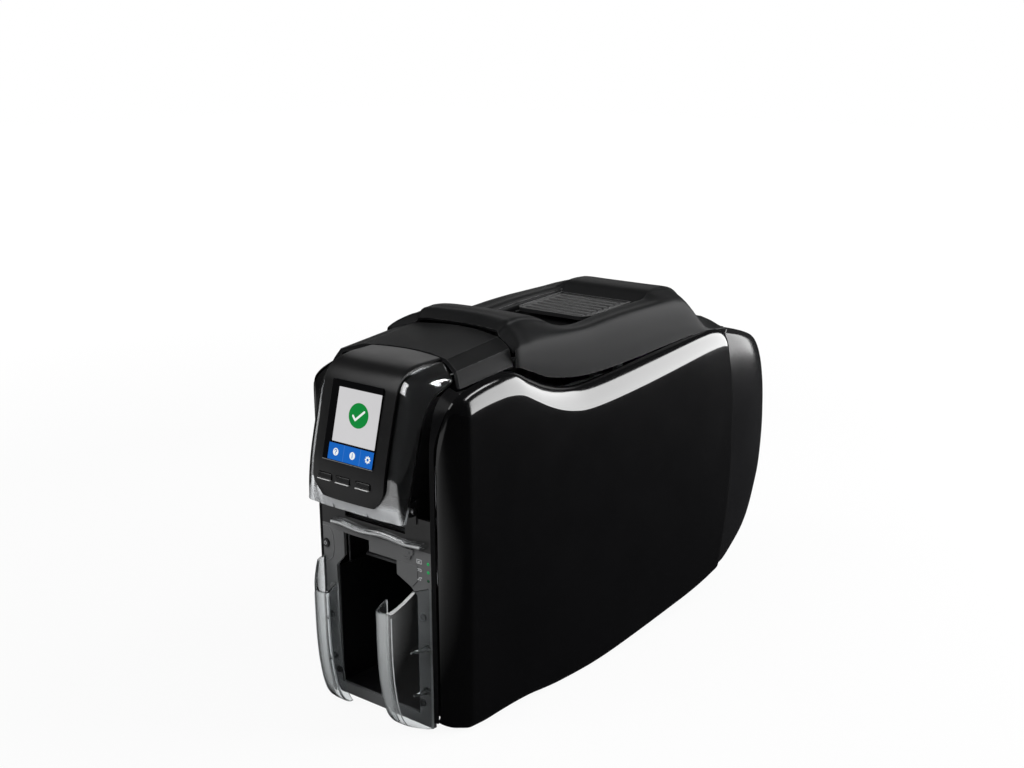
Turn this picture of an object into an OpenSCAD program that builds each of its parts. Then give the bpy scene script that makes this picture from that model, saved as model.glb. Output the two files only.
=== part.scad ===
// Slim desktop printer for identity cards, with a swing-down screen door over the card hopper,
// a top cover hinged at the rear and a card flipping unit behind.
// X runs to the viewer's right, Y runs back from the front, Z is up. Lengths in millimetres.
// Inside the modules Y is counted from the grey front plate; place() shifts it to the row frame.

/* [Body] */
// Half width over the bulge of the side panels
body_half = 74; // [70:1:80]
// Half width of the top cover
cover_half = 61.5; // [61:0.5:61.5]
// Rearmost point of the flipping unit, from the front plate
rear_end = 438; // [436:1:444]
// Thickness of the moulded casings
skin = 2.4; // [2:0.2:2.6]

/* [Card path] */
// Height of the card path above the table
path_z = 141; // [140:0.5:142]
// Thickness of one card
card_t = 0.8; // [0.5:0.1:1]
// Radius of the driven rollers
roller_r = 8; // [7:0.5:8]
// Distance between neighbouring driven rollers
roller_pitch = 80; // [78:1:81]
// Distance from the front plate to the feed roller
feed_y = 52; // [50:1:54]

/* [Door] */
// Half width of the flat door front
face_half = 33; // [31:1:34]
// Height of the door hinge
door_axis_z = 160; // [158:1:162]
// Width of the dark glass in front of the screen
glass_w = 46.8; // [42:0.4:48]
// Height of that glass, measured along the leaning front
glass_h = 53.4; // [48:0.4:54]

/* [Bin] */
// Half width inside the output bin
bin_half = 38; // [36:0.5:38]
// Depth of the output bin behind the front plate
bin_depth = 92; // [88:1:96]

/* [Hidden] */
$fn = 48;

origin_y = 206;                      // front plate to the middle of the footprint
gap = 0.5;                           // visible gap between neighbouring casings
running = 0.05;                      // radial clearance of a shaft in its bore
panel_front = 2.5;                   // front edge of the side panels
panel_rear = 351;                    // their rear edge at its furthest
panel_in = cover_half + gap;         // inner edge of the panels' shoulders
column_in = 51.6;                    // where the front plate meets the corner columns
plate_top = 130.7;
plate_t = 2.5;
frame_in = 42;                       // inner face of the steel side frames
frame_t = 1.5;
shaft_r = 3;
belt_x = 47;                         // inner edge of the drive belt
belt_w = 6;
pulley_r = 7;
axis_z = path_z - roller_r;          // height of the driven roller axes
front_y = feed_y + roller_pitch;
platen_y = feed_y + 2 * roller_pitch;
rear_y = feed_y + 3 * roller_pitch;
pinch_r = 5;
pinch_z = path_z + card_t + pinch_r;
clean_r = 8;
clean_z = path_z + card_t + clean_r;
take_up = [155, 200];                // ribbon spool axes, [Y, Z]
supply = [264, 198];
spool_r = 4;
flip_y = 391;                        // axis of the flipping cradle
flip_reach = 36;                     // half length of the cradle
flip_roll_y = 22;                    // its rollers, from that axis
cover_axis = [336, 228];             // top cover hinge, [Y, Z]
door_axis = [-5, door_axis_z];       // door hinge, [Y, Z]
pin_r = 2.5;
lean = 14.3;                         // lean of the door front
face_mid = [-16.3, 213.9];           // middle of the dark glass, [Y, Z]
motor_axis = [front_y, axis_z - 24]; // drive motor, [Y, Z]
tooth = 1;                           // gear module

// Rows of [Y, Z] or [Z, Y] knots that the casing curves pass through
panel_top_line = [[2.5, 193], [3.4, 203], [4.8, 213], [7, 223], [9, 229.4], [12, 232.8],
    [16, 235], [21, 236.9], [28, 239], [36, 240.7], [50, 242.8], [60, 243.6], [68, 243.3],
    [78, 240.8], [86, 237],
    [103, 229.5], [118, 224.5], [135, 221], [151, 220], [181, 221.5], [240, 226], [287, 229.5],
    [320, 231], [342, 230], [351, 226]];
panel_foot_line = [[2.5, 7], [4, 5.6], [7, 4], [12, 2.4], [18, 1.4], [26, 1], [37, 1], [57, 2.4], [84, 3],
    [105, 1.6], [121, 0.8], [159, 0.8], [185, 2.2], [215, 5], [262, 9.8], [323, 16.4], [351, 23]];
panel_back_line = [[18, 331], [31, 339], [58, 345.5], [99, 351], [141, 350.5], [177, 348],
    [200, 341], [231, 336]];
cover_edge_line = [[100, 243], [112, 236.5], [125, 230], [155, 224.5], [206, 225.5], [260, 229],
    [300, 231], [320, 229.4], [340, 229]];
cover_crease_line = [[100, 258.5], [116, 259.5], [140, 258], [160, 257.5], [196, 260], [232, 261],
    [268, 261.3], [282, 259.5], [291, 255], [301, 246.5], [308, 240], [315, 234.5], [322, 232],
    [334, 230.6], [340, 230.4]];
cover_rail_line = [[100, 266], [116, 268], [135, 263], [150, 258], [165, 257], [196, 259.5],
    [232, 261.5], [252, 262.5], [262, 266], [288, 265.5], [298, 260], [309, 251.5], [320, 243],
    [330, 237.4], [340, 235.5]];
cover_mid_line = [[100, 269], [112, 270.5], [130, 267], [148, 257.5], [165, 251.5], [185, 249],
    [246, 252.8], [252, 256], [262, 266.3], [288, 267], [302, 261], [316, 248], [330, 238.5],
    [340, 236]];
face_line = [[-22.8, 153], [-24.6, 162], [-24.8, 172], [-23.8, 182], [-21.6, 193], [-16.3, 214],
    [-11.5, 232], [-9, 240], [-4.5, 246.5], [3, 250.6], [13, 252.6], [25, 253.6], [38, 254]];
door_edge_line = [[46, -16.5, 154], [46.6, -14.5, 162.5], [47, -12.5, 171], [47.3, -10.5, 180],
    [47.6, -8, 191], [48, -4.2, 205], [48.5, 0.2, 221], [48.9, 4, 228.6], [49.4, 8.6, 233.4],
    [50, 13.6, 236.8], [50.6, 19, 239], [51, 22.6, 240.8], [51, 25, 242.6]];
wing_line = [[2.6, -9], [5, -12], [9, -15.4], [14, -18.2], [23, -21.2], [38, -24], [50, -25.2],
    [61, -25.8], [75, -25.95], [106, -26]];
unit_line = [[14.5, 344], [15.5, 353], [18, 366], [20, 374], [28, 386], [40, 400], [54, 410.5],
    [76, 419.5], [95, 425.5], [125, 428.5], [150, 427.5], [170, 425], [190, 419.5], [204, 411.5],
    [212, 401], [218, 383], [222, 361], [223.5, 351], [224, 344]];

function mix(a, b, t) = a + (b - a) * t;
function knot(x, k, i = 0) = i >= len(k) - 2 || x < k[i + 1][0] ? i : knot(x, k, i + 1);
function slope(k, i) =
    let (a = max(0, i - 1), b = min(len(k) - 1, i + 1)) (k[b][1] - k[a][1]) / (k[b][0] - k[a][0]);
// Smooth curve through the knots k at x
function curve(x, k) =
    let (i = knot(x, k), h = k[i + 1][0] - k[i][0], t = min(1, max(0, (x - k[i][0]) / h)))
    (2 * t ^ 3 - 3 * t ^ 2 + 1) * k[i][1] + (t ^ 3 - 2 * t ^ 2 + t) * h * slope(k, i)
    + (3 * t ^ 2 - 2 * t ^ 3) * k[i + 1][1] + (t ^ 3 - t ^ 2) * h * slope(k, i + 1);
// Drop of a rounded edge of radius r at distance d from its end
function edge_drop(d, r) = d >= r ? 0 : r - sqrt(max(0, r * r - (r - d) * (r - d)));

module place() translate([0, -origin_y, 0]) children();
// A rod along X from x0 to x1 through the point [y, z]
module rod(x0, x1, at, r) translate([x0, at[0], at[1]]) rotate([0, 90, 0]) cylinder(h = x1 - x0, r = r);
module tube(x0, x1, at, r, bore) translate([x0, at[0], at[1]]) rotate([0, 90, 0])
    difference() {
        cylinder(h = x1 - x0, r = r);
        translate([0, 0, -1]) cylinder(h = x1 - x0 + 2, r = bore);
    }
module block(low, high) translate(low) cube(high - low);
// A [Y, Z] outline given its thickness along X
module slab(x0, x1, points) translate([x0, 0, 0])
    rotate([90, 0, 90]) linear_extrude(x1 - x0) polygon(points);

// A closed skin between two grids of points, outer[i][j] and inner[i][j]
module skin_between(outer, inner) {
    m = len(outer);
    k = len(outer[0]);
    function o(i, j) = i * k + j;
    function n(i, j) = m * k + i * k + j;
    function two(a, b, c, d) = [[a, b, c], [a, c, d]];
    polyhedron(
        points = concat([for (r = outer) each r], [for (r = inner) each r]),
        faces = [
            for (i = [0:m - 2], j = [0:k - 2]) each concat(
                two(o(i, j), o(i, j + 1), o(i + 1, j + 1), o(i + 1, j)),
                two(n(i, j), n(i + 1, j), n(i + 1, j + 1), n(i, j + 1))),
            for (j = [0:k - 2]) each concat(
                two(o(0, j), n(0, j), n(0, j + 1), o(0, j + 1)),
                two(o(m - 1, j), o(m - 1, j + 1), n(m - 1, j + 1), n(m - 1, j))),
            for (i = [0:m - 2]) each concat(
                two(o(i, 0), o(i + 1, 0), n(i + 1, 0), n(i, 0)),
                two(o(i, k - 1), n(i, k - 1), n(i + 1, k - 1), o(i + 1, k - 1)))]);
}

// ---------- casing ----------

// Plan of the gloss side panel: narrow at the front, widest a little before the middle
function panel_x(y) = y < 190 ? body_half - 3.5 * pow((190 - y) / 186, 2)
    : body_half - 3.6 * pow((y - 190) / 162, 2);
panel_stations = [2.5, 2.8, 3.5, 4.6, 6.2, 8.2, 10.6, 13.5, 16.5, 19.5, 26, 36, 48, 60, 74, 88,
    102, 116, 130, 145, 165, 190, 220, 250, 280, 305, 325, 338, 345, 349, 351];
// The front edge rolls in towards the plate, almost as a slant
roll_in = 14.7;
roll_depth = 17;
roll_power = 1.3;
function front_roll(d) = d >= roll_depth ? 0
    : roll_in * (1 - pow(1 - pow(1 - d / roll_depth, roll_power), 1 / roll_power));
function panel_point(y, j, off) =
    let (x = panel_x(y) - front_roll(y - panel_front) - edge_drop(panel_rear - y, 6),
        low = j < 5, high = j > 8,
        a = low ? -90 + 22.5 * j : high ? 90 * (j - 9) / 6 : 0,
        shoulder = max(skin + 0.3, x - panel_in), drop = min(22, 4 + shoulder * 1.45),
        rx = low ? min(5, shoulder) : shoulder,
        foot = curve(y, panel_foot_line) + 8, top = curve(y, panel_top_line) - drop,
        z = low ? foot + (8 - off) * sin(a) : high ? top + (drop - off) * sin(a)
            : mix(foot, top, (j - 4) / 5),
        reach = (curve(z, panel_back_line) - panel_front) / (panel_rear - panel_front))
    [x - rx + (rx - off) * cos(a), panel_front + (y - panel_front) * reach
        + 0.8 * off * max(0, 1 - (y - panel_front) / roll_depth), z];
module side_panel() skin_between(
    [for (y = panel_stations) [for (j = [0:15]) panel_point(y, j, 0)]],
    [for (y = panel_stations) [for (j = [0:15]) panel_point(y, j, skin)]]);

module side_panel_right() { color("#101113") place() side_panel(); }
module side_panel_left() { color("#101113") place() mirror([1, 0, 0]) side_panel(); }

// Floor of the body, as wide as the bulging side panels allow
module base_tray() {
    wall = 2;
    module plan(inset) linear_extrude(80) polygon(concat(
        [for (y = [14:23:336]) [panel_x(y) - 9 - inset, y]],
        [for (y = [336:-23:14]) [-panel_x(y) + 9 + inset, y]]));
    outline = [[14, 4], [190, 4], [331, 19.4], [331, 44], [100, 26], [100, 8.8], [14, 8.8]];
    hollow = [[16, 6.5], [190, 6.5], [329, 21.7], [329, 60], [16, 60]];
    color("#17181a") place() difference() {
        intersection() {
            slab(-body_half, body_half, outline);
            plan(0);
        }
        intersection() {
            slab(-body_half, body_half, hollow);
            plan(wall);
        }
    }
}

module rubber_feet() {
    foot_r = 7;
    foot_x = 45;
    color("#0c0c0c") place() for (s = [-1, 1]) {
        translate([s * foot_x, 34, 0]) cylinder(h = 4, r = foot_r);
        translate([s * foot_x, 250, 0]) cylinder(h = 9.8, r = foot_r);
    }
}

// Opening of the output bin in the front plate, seen from the front, [X, Z]
bin_outline = [[-39, 11], [38.5, 11], [38.5, 98], [33, 103], [20, 109], [20, 119], [-6, 119],
    [-6, 127], [-31, 127], [-31, 110], [-39, 101]];
light_x = 49;
light_z = [123, 117, 111];
power_at = [-48.5, 115.5];           // power button centre, [X, Z]
screw_at = [[43, 84], [-43, 84], [41.6, 20], [-41.6, 20]];

module front_plate() {
    color("#38393b") place() difference() {
        translate([0, plate_t, 0]) rotate([90, 0, 0]) linear_extrude(plate_t) difference() {
            translate([-column_in, 3]) square([2 * column_in, plate_top - 3]);
            polygon(bin_outline);
            for (z = light_z) translate([light_x, z]) circle(r = 1.25, $fn = 24);
            translate(power_at) circle(r = 3.3);
        }
        for (at = screw_at)
            translate([at[0], -0.1, at[1]]) rotate([-90, 0, 0]) cylinder(h = 5, r = 1.6);
    }
}

// Thin corner columns beside the plate. Their crowns widen and sweep back between the door's edge
// and the panel's shoulder. Inner and outer end of each row
column_rows = [[[51.6, 0, 7], [54.6, 1, 7]], [[51.6, 0, 60], [54.6, 1, 60]],
    [[51.6, 0, 120], [54.6, 1, 120]], [[51.6, 0.1, 172], [54.6, 1, 172]],
    [[51.6, 0.3, 194], [54.6, 1.1, 191.5]], [[51.6, 0.9, 205.5], [54.8, 1.6, 203]],
    [[51.6, 2.2, 214], [56.3, 3.2, 212]], [[51.6, 4.6, 223], [58.8, 5.8, 221.6]],
    [[51.6, 7.8, 229.8], [60.7, 8.2, 228]], [[51.6, 11.5, 234.2], [61.4, 11.7, 231.8]],
    [[51.8, 16, 237.4], [61.4, 16, 234.3]], [[52, 20.4, 239.2], [61.4, 20.4, 236]]];
column_wall = 1;
function column_at(i, t, off) =
    let (last = len(column_rows) - 1, p = column_rows[i], a = column_rows[max(0, i - 1)],
        b = column_rows[min(last, i + 1)], d = mix(b[0], b[1], t) - mix(a[0], a[1], t))
    mix(p[0], p[1], t) + off * [0, d[2], -d[1]] / norm([d[1], d[2]]);
module column() skin_between(
    [for (i = [0:len(column_rows) - 1]) [for (t = [1, 0.75, 0.5, 0.25, 0]) column_at(i, t, 0)]],
    [for (i = [0:len(column_rows) - 1]) [for (t = [1, 0.75, 0.5, 0.25, 0]) column_at(i, t, column_wall)]]);
module front_columns() {
    color("#141517") place() {
        column();
        mirror([1, 0, 0]) column();
    }
}

// Dark band between the plate and the door, with the hand feed slot and the door's hinge lugs
module feed_fascia() {
    color("#1b1c1e") place() {
        difference() {
            block([-column_in, 0, plate_top], [column_in, plate_t, 153]);
            block([-28.5, -1, path_z - 1.5], [28.5, plate_t + 1, path_z + 3]);
        }
        for (s = [-1, 1]) mirror([s < 0 ? 1 : 0, 0, 0]) difference() {
            union() {
                block([37, -1, 149], [40, 0, 157]);
                slab(37, 40, [[-1, 149], [plate_t, 149], [plate_t, 166], [-1, 166]]);
                rod(37, 40, door_axis, 5);
                slab(37, 40, [[door_axis[0], 155], [0, 155], [0, 165], [door_axis[0], 165]]);
            }
            rod(36, 41, door_axis, pin_r);
        }
    }
}

module light_strip() {
    color([0.8, 0.85, 0.88, 0.45]) place() rotate([90, 0, 0]) linear_extrude(5)
        polygon(concat([for (x = [-39:5:46]) [x, 136.6 + 0.8 * sin(x * 9)]],
            [for (x = [46:-5:-39]) [x, 132.4 + 0.6 * sin(x * 9)]]));
}

// Fixed cap between the door and the top cover
cap_half = [59.4, 57, 53.8, 52.8, 45, 38.6, 37.2, 18, 0];
cap_low = [239, 243.6, 248.6, 249.4, 251.6, 253.4, 253.7, 254.3, 254.4];
cap_high = [244.6, 249.2, 254.6, 255.6, 258, 259.9, 260.2, 261.4, 262];
module front_cap() {
    function point(j, s, off) =
        let (c = j < 9 ? j : 16 - j, a = cap_half[c], side = j < 9 ? -1 : 1,
            front = 40.4 - 14 * pow(a / 52, 2), back = 89 - 11 * pow(a / 54, 2.4))
        [side * a * (1 - off / 62), mix(front, back, s),
            mix(cap_low[c], cap_high[c], s) - off * (c == 0 ? 0 : 1)];
    stations = [0, 0.1, 0.25, 0.5, 0.75, 0.9, 1];
    color("#1d1e20") place() skin_between(
        [for (s = stations) [for (j = [16:-1:0]) point(j, s, 0)]],
        [for (s = stations) [for (j = [16:-1:0]) point(j, s, skin)]]);
}

module output_bin() {
    wall = 1.4;
    color("#0e0f10") place() difference() {
        block([-bin_half - wall, plate_t, 8.8], [bin_half + wall, bin_depth, 100]);
        block([-bin_half, plate_t - 1, 11], [bin_half, bin_depth - wall, 101]);
        block([-bin_half + 4, bin_depth - 5, 30], [bin_half - 4, bin_depth + 1, 70]);
    }
}

// Clear guide wing of the output bin: a return flange, a front strip and a slanted outer wall
module bin_wing() {
    wall = 2;
    stations = [2.6, 5, 9, 14, 22, 31, 40, 49, 58, 67, 76, 86, 96, 106];
    // [X, share of the reach at this height]
    outside = [[22.6, 0.55], [22.6, 0.84], [23.6, 0.95], [27, 1], [33, 0.98], [38, 0.87], [43, 0.66],
        [48, 0.36], [51.4, 0.004]];
    // [X, share, wall]
    inside = [[24.6, 0.55, 0.1], [24.6, 0.84, 0.6], [25.4, 0.95, 1.8], [27.8, 1, wall],
        [32.2, 0.98, wall], [36.6, 0.87, 1.8], [41.2, 0.66, 1.5], [46, 0.36, 1], [49, 0, -0.05]];
    function plan(z) = [for (p = outside) [p[0], curve(z, wing_line) * p[1]]];
    function plan_in(z) = [for (p = inside) [p[0], min(-0.05, curve(z, wing_line) * p[1] + p[2])]];
    difference() {
        skin_between([for (z = stations) [for (j = [8:-1:0]) concat(plan(z)[j], z)]],
            [for (z = stations) [for (j = [8:-1:0]) concat(plan_in(z)[j], z)]]);
        slab(30, 60, [[-40, 91], [-23.5, 91], [-11, 105.5], [-11, 120], [-40, 120]]);
        slab(10, 31, [[-40, 91], [-24, 91], [-14, 96], [-5, 96], [-5, 120], [-40, 120]]);
    }
}
module bin_wing_right() { color([0.85, 0.9, 0.92, 0.4]) place() bin_wing(); }
module bin_wing_left() { color([0.85, 0.9, 0.92, 0.4]) place() mirror([1, 0, 0]) bin_wing(); }

// ---------- chassis ----------

frame_outline = [[16, 28], [328, 36], [328, 46], [337, 60], [337, 121], [404, 121], [404, 161],
    [337, 161], [337, 200], [320, 214], [60, 214], [44, 196], [16, 190]];
shaft_ys = [feed_y, front_y, platen_y, rear_y];
module side_frame() difference() {
    slab(frame_in, frame_in + frame_t, frame_outline);
    for (y = shaft_ys) rod(frame_in - 1, frame_in + 3, [y, axis_z], shaft_r + running);
    rod(frame_in - 1, frame_in + 3, [front_y, clean_z], 2 + running);
    rod(frame_in - 1, frame_in + 3, [rear_y, pinch_z], 2 + running);
    for (at = [take_up, supply]) rod(frame_in - 1, frame_in + 3, at, spool_r + running);
    rod(frame_in - 1, frame_in + 3, [flip_y, path_z], spool_r + running);
    rod(frame_in - 1, frame_in + 3, motor_axis, 4.5);
    slab(frame_in - 1, frame_in + 3, [[178, 60], [262, 60], [262, 106], [178, 106]]);
}
latch_pin = [214, 206];
module frame_right() {
    color("#b9bcc0") place() {
        side_frame();
        rod(36, frame_in, latch_pin, 2.5);
    }
}
module frame_left() {
    color("#b9bcc0") place() mirror([1, 0, 0]) {
        side_frame();
        rod(36, frame_in, latch_pin, 2.5);
    }
}

// Input hopper: two cheeks and a back wall over the feed roller
module card_hopper() {
    inner = 27.6;
    wall = 1.6;
    color("#232427") place() {
        for (s = [0, 1]) mirror([s, 0, 0]) {
            block([inner, 5, path_z + 1.5], [inner + wall, 88, 226]);
            for (z = [150, 180]) block([inner + wall, 60, z], [frame_in, 66, z + 3]);
        }
        block([-inner, 86.4, path_z + 4], [inner, 88, 226]);
    }
}

module card_weight() {
    color("#2c2e31") place() {
        block([-26.5, 8, path_z + 1.2], [26.5, 80, path_z + 5]);
        block([-9, 12, path_z + 5], [9, 15, path_z + 14]);
        block([-9, 12, path_z + 14], [9, 24, path_z + 16]);
    }
}

// Card path between the rollers, tied to both frames, and the chute down to the bin
module card_guides() {
    top = path_z - 0.5;
    color("#3a3c40") place() {
        block([-frame_in, 5, top - 2], [frame_in, feed_y - 9, top]);
        for (y = [feed_y, front_y, platen_y])
            block([-frame_in, y + 9, top - 2], [frame_in, y + roller_pitch - 9, top]);
        block([-frame_in, rear_y + 9, top - 2], [frame_in, 345, top]);
        slab(-30, 30, [[20, 105], [116, 133], [116, 134.6], [20, 106.6]]);
        for (s = [0, 1]) mirror([s, 0, 0]) {
            slab(30, frame_in, [[60, 116.7], [70, 119.6], [70, 121.2], [60, 118.3]]);
            slab(30, frame_in, [[100, 128.4], [110, 131.3], [110, 132.9], [100, 130]]);
        }
    }
}

trough_r = 13;                       // room for the cover's rear edge as it swings down
module rear_bulkhead() {
    color("#1c1d20") place() {
        intersection() {
            tube(-58, 58, cover_axis, trough_r + 1.5, trough_r);
            block([-60, 338, 200], [60, 360, 226]);
        }
        difference() {
            block([-58, 338, 46], [58, 341, 214.5]);
            block([-46, 337, 117], [46, 342, 165]);
            block([-30, 337, 60], [30, 342, 90]);
        }
        for (s = [0, 1]) mirror([s, 0, 0]) difference() {
            union() {
                slab(33, 37.5, [[332, 212], [341, 212], [341, 228], [331, 228]]);
                rod(33, 37.5, cover_axis, 5);
            }
            rod(32, 39, cover_axis, pin_r);
        }
    }
}

module hinge_pins() {
    color("#c8cacc") place() for (s = [0, 1]) mirror([s, 0, 0]) {
        rod(33, 43, cover_axis, pin_r);
        rod(34, 43.5, door_axis, pin_r);
    }
}

// D-shaped shell of the flipping unit, open towards the body
unit_half = 62;
unit_front = 341.5;
module flipper_housing() {
    stations = [14.5, 15.5, 18, 20, 24, 30, 38, 48, 60, 76, 95, 125, 150, 170, 186, 196, 204, 210,
        214, 218, 220.5, 222, 223.5, 224];
    function point(z, j, off) =
        let (zz = z, back = curve(zz, unit_line), span = (back - unit_front) * 0.96,
            half = unit_half - 5 * pow(abs(zz - 125) / 105, 3) - off,
            bow = (rear_end - 428.5) * min(1, (back - unit_front) / 60),
            ry = max(1, back + bow - unit_front - off), a = 180 * j / 16,
            c = cos(a), e = 0.42, x = -half * sign(c) * pow(abs(c), e), y = pow(sin(a), e))
        [x, unit_front + ry * y, zz + (zz > 120 ? -off : off)];
    color("#111214") place() difference() {
        skin_between([for (z = stations) [for (j = [0:16]) point(z, j, 0)]],
            [for (z = stations) [for (j = [0:16]) point(z, j, skin)]]);
        rod(-70, 70, cover_axis, trough_r + 1.8);
        block([-40, 360, 44], [40, 440, 84]);
    }
}

// Recessed connector panel in the lower back
module io_panel() {
    color("#26282b") place() difference() {
        block([-44, 384, 38], [44, 386.4, 90]);
        block([-33, 380, 55], [-21, 390, 67]);
        block([-10, 380, 52], [6, 390, 66]);
        block([14, 380, 52], [28, 390, 66]);
    }
}

module rear_sockets() {
    color("#8d9094") place() {
        difference() {
            block([-32.8, 370, 55.2], [-21.2, 387, 66.8]);
            translate([-27, 375, 61]) rotate([-90, 0, 0]) cylinder(h = 13, r = 3.2);
        }
        translate([-27, 375, 61]) rotate([-90, 0, 0]) cylinder(h = 9, r = 1);
        difference() {
            block([-9.8, 366, 52.2], [5.8, 387, 65.8]);
            block([-7.6, 376, 54.4], [3.6, 388, 63.4]);
        }
        difference() {
            block([14.2, 366, 52.2], [27.8, 387, 65.8]);
            block([16.2, 376, 54.4], [25.8, 388, 63.6]);
        }
        block([19, 376, 56], [23, 384, 58.6]);
    }
}

module main_board() {
    board_x = -50;
    color("#1f5a35") place() {
        block([board_x, 110, 44], [board_x + 1.6, 320, 120]);
        block([board_x - 3, 150, 70], [board_x, 180, 100]);
        block([board_x - 2, 200, 84], [board_x, 216, 104]);
        block([board_x - 6, 250, 50], [board_x, 300, 60]);
        for (y = [230, 242]) translate([board_x - 6, y, 96]) rotate([0, 90, 0]) cylinder(h = 6, r = 4);
    }
}

// Toothed outline: the first tooth points along +X of the drawing plane
module gear_outline(teeth, spin) {
    pitch = teeth * tooth / 2;
    step = 360 / teeth;
    function at(r, a) = [r * cos(a), r * sin(a)];
    polygon([for (i = [0:teeth - 1]) let (a = i * step + spin)
        each [at(pitch - 1.15 * tooth, a - step * 0.30), at(pitch + 0.8 * tooth, a - step * 0.12),
              at(pitch + 0.8 * tooth, a + step * 0.12), at(pitch - 1.15 * tooth, a + step * 0.30)]]);
}
module gear(x0, x1, at, teeth, spin, bore) translate([x0, at[0], at[1]]) rotate([90, 0, 90])
    linear_extrude(x1 - x0) difference() {
        gear_outline(teeth, spin);
        circle(r = bore);
    }

module drive_motor() {
    color("#5c5f64") place() {
        translate([12, motor_axis[0] - 14, motor_axis[1] - 14]) cube([frame_in - 12, 28, 28]);
        rod(frame_in, frame_in + 1.4, motor_axis, 4.2);
        rod(frame_in + 1.4, frame_in + 5.5, motor_axis, 2);
    }
}
module motor_pinion() {
    color("#d9c9a0") place() gear(frame_in + 2.5, frame_in + 5, motor_axis, 12, 90 + 15, 2 + running);
}

// Flat gear motors for the ribbon and for the flipping cradle, outside the left frame
module gear_motors() {
    color("#6b6e73") place() for (at = [take_up, [flip_y, path_z]]) {
        difference() {
            rod(-frame_in - frame_t - 10, -frame_in - frame_t, at, 12);
            rod(-frame_in - frame_t - 9, -frame_in - frame_t + 1, at, spool_r + running);
        }
    }
}

module belt_loop(r) {
    translate([feed_y, -r]) square([3 * roller_pitch, 2 * r]);
    for (y = [feed_y, rear_y]) translate([y, 0]) circle(r = r);
}
module drive_belt() {
    color("#161616") place() translate([belt_x, 0, axis_z]) rotate([90, 0, 90]) linear_extrude(belt_w)
        difference() {
            belt_loop(pulley_r + 1.6);
            belt_loop(pulley_r + 0.3);
        }
}

module status_lights() {
    color("#38c060") place() for (z = light_z)
        translate([light_x, 3.4, z]) rotate([90, 0, 0]) cylinder(h = 4, r = 1.2, $fn = 24);
}

module panel_screws() {
    color("#9a9da1") place() for (at = screw_at)
        translate([at[0], -1, at[1]]) rotate([-90, 0, 0]) difference() {
            union() {
                cylinder(h = 1, r = 2.6);
                cylinder(h = 6, r = 1.55);
            }
            translate([-1.8, -0.35, -0.1]) cube([3.6, 0.7, 0.7]);
            translate([-0.35, -1.8, -0.1]) cube([0.7, 3.6, 0.7]);
        }
}

module power_button() {
    color("#2a2b2d") place() translate([power_at[0], 0, power_at[1]]) rotate([-90, 0, 0]) {
        translate([0, 0, -1.2]) cylinder(h = 4.2, r = 3);
        translate([0, 0, 3]) cylinder(h = 1.2, r = 4.4);
    }
}

// ---------- rollers ----------

module sleeve(y, half) tube(-half, half, [y, axis_z], roller_r, shaft_r);
// Steel shaft with its belt pulley pressed on
module driven_shaft(y) {
    rod(-frame_in - 3, belt_x + belt_w + 2, [y, axis_z], shaft_r);
    rod(belt_x + 0.5, belt_x + belt_w - 0.5, [y, axis_z], pulley_r);
    rod(-frame_in - 3.8, -frame_in - 3, [y, axis_z], 4);
}
module feed_roller() { color("#3d3f42") place() sleeve(feed_y, 12); }
module feed_shaft() { color("#c3c5c8") place() driven_shaft(feed_y); }
module front_roller() { color("#3d3f42") place() sleeve(front_y, 26); }
module front_shaft() {
    color("#c3c5c8") place() {
        driven_shaft(front_y);
        gear(frame_in + 2.5, frame_in + 4.7, [front_y, axis_z], 36, 90, shaft_r);
    }
}
module platen_roller() { color("#3d3f42") place() sleeve(platen_y, 29); }
module platen_shaft() { color("#c3c5c8") place() driven_shaft(platen_y); }
module rear_roller() { color("#3d3f42") place() sleeve(rear_y, 26); }
module rear_shaft() { color("#c3c5c8") place() driven_shaft(rear_y); }

module cleaning_roller() {
    color("#c8d4de") place() {
        rod(-28, 28, [front_y, clean_z], clean_r);
        rod(-frame_in - 2.5, frame_in + 2, [front_y, clean_z], 2);
    }
}
module pinch_roller() {
    color("#8b8e92") place() {
        rod(-24, 24, [rear_y, pinch_z], pinch_r);
        rod(-frame_in - 2.5, frame_in + 2.5, [rear_y, pinch_z], 2);
    }
}

module spool(at, film_r) {
    rod(-31, 31, at, film_r);
    for (x = [-34, 31]) rod(x, x + 3, at, film_r + 3);
    rod(-frame_in - 9, frame_in + 2.2, at, spool_r);
}
module take_up_spool() { color("#26262a") place() spool(take_up, 9); }
module supply_spool() {
    color("#4a2f55") place() {
        rod(-31, 31, supply, 16);
        for (x = [-34, 31]) rod(x, x + 3, supply, 19);
        rod(-frame_in - 2.5, frame_in + 2.2, supply, spool_r);
    }
}

// Cradle that turns a card over: two guide plates between end cheeks
module flipper_cradle() {
    cheek = [[-30, -10], [30, -10], [30, 10], [-30, 10]];
    color("#34363a") place() translate([0, flip_y, path_z]) {
        for (s = [0, 1]) mirror([s, 0, 0]) {
            difference() {
                slab(37, 40, cheek);
                rod(36, 41, [-flip_roll_y, -6], 2 + running);
                rod(36, 41, [-flip_roll_y, card_t + pinch_r], 2 + running);
            }
        }
        rod(-frame_in - 9, -37, [0, 0], spool_r);
        rod(37, frame_in + 2.5, [0, 0], spool_r);
        for (y = [[-13, 34], [-36, -31]]) {
            block([-37, y[0], 2.2], [37, y[1], 3.7]);
            block([-37, y[0], -3.7], [37, y[1], -2.2]);
        }
        for (s = [0, 1]) mirror([s, 0, 0]) for (z = [[2.2, 3.7], [-3.7, -2.2]])
            block([33, -31, z[0]], [37, -13, z[1]]);
    }
}
module flipper_roller() {
    color("#3d3f42") place() {
        rod(-24, 24, [flip_y - flip_roll_y, path_z - 6], 6);
        rod(-39.8, 39.8, [flip_y - flip_roll_y, path_z - 6], 2);
    }
}
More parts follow.
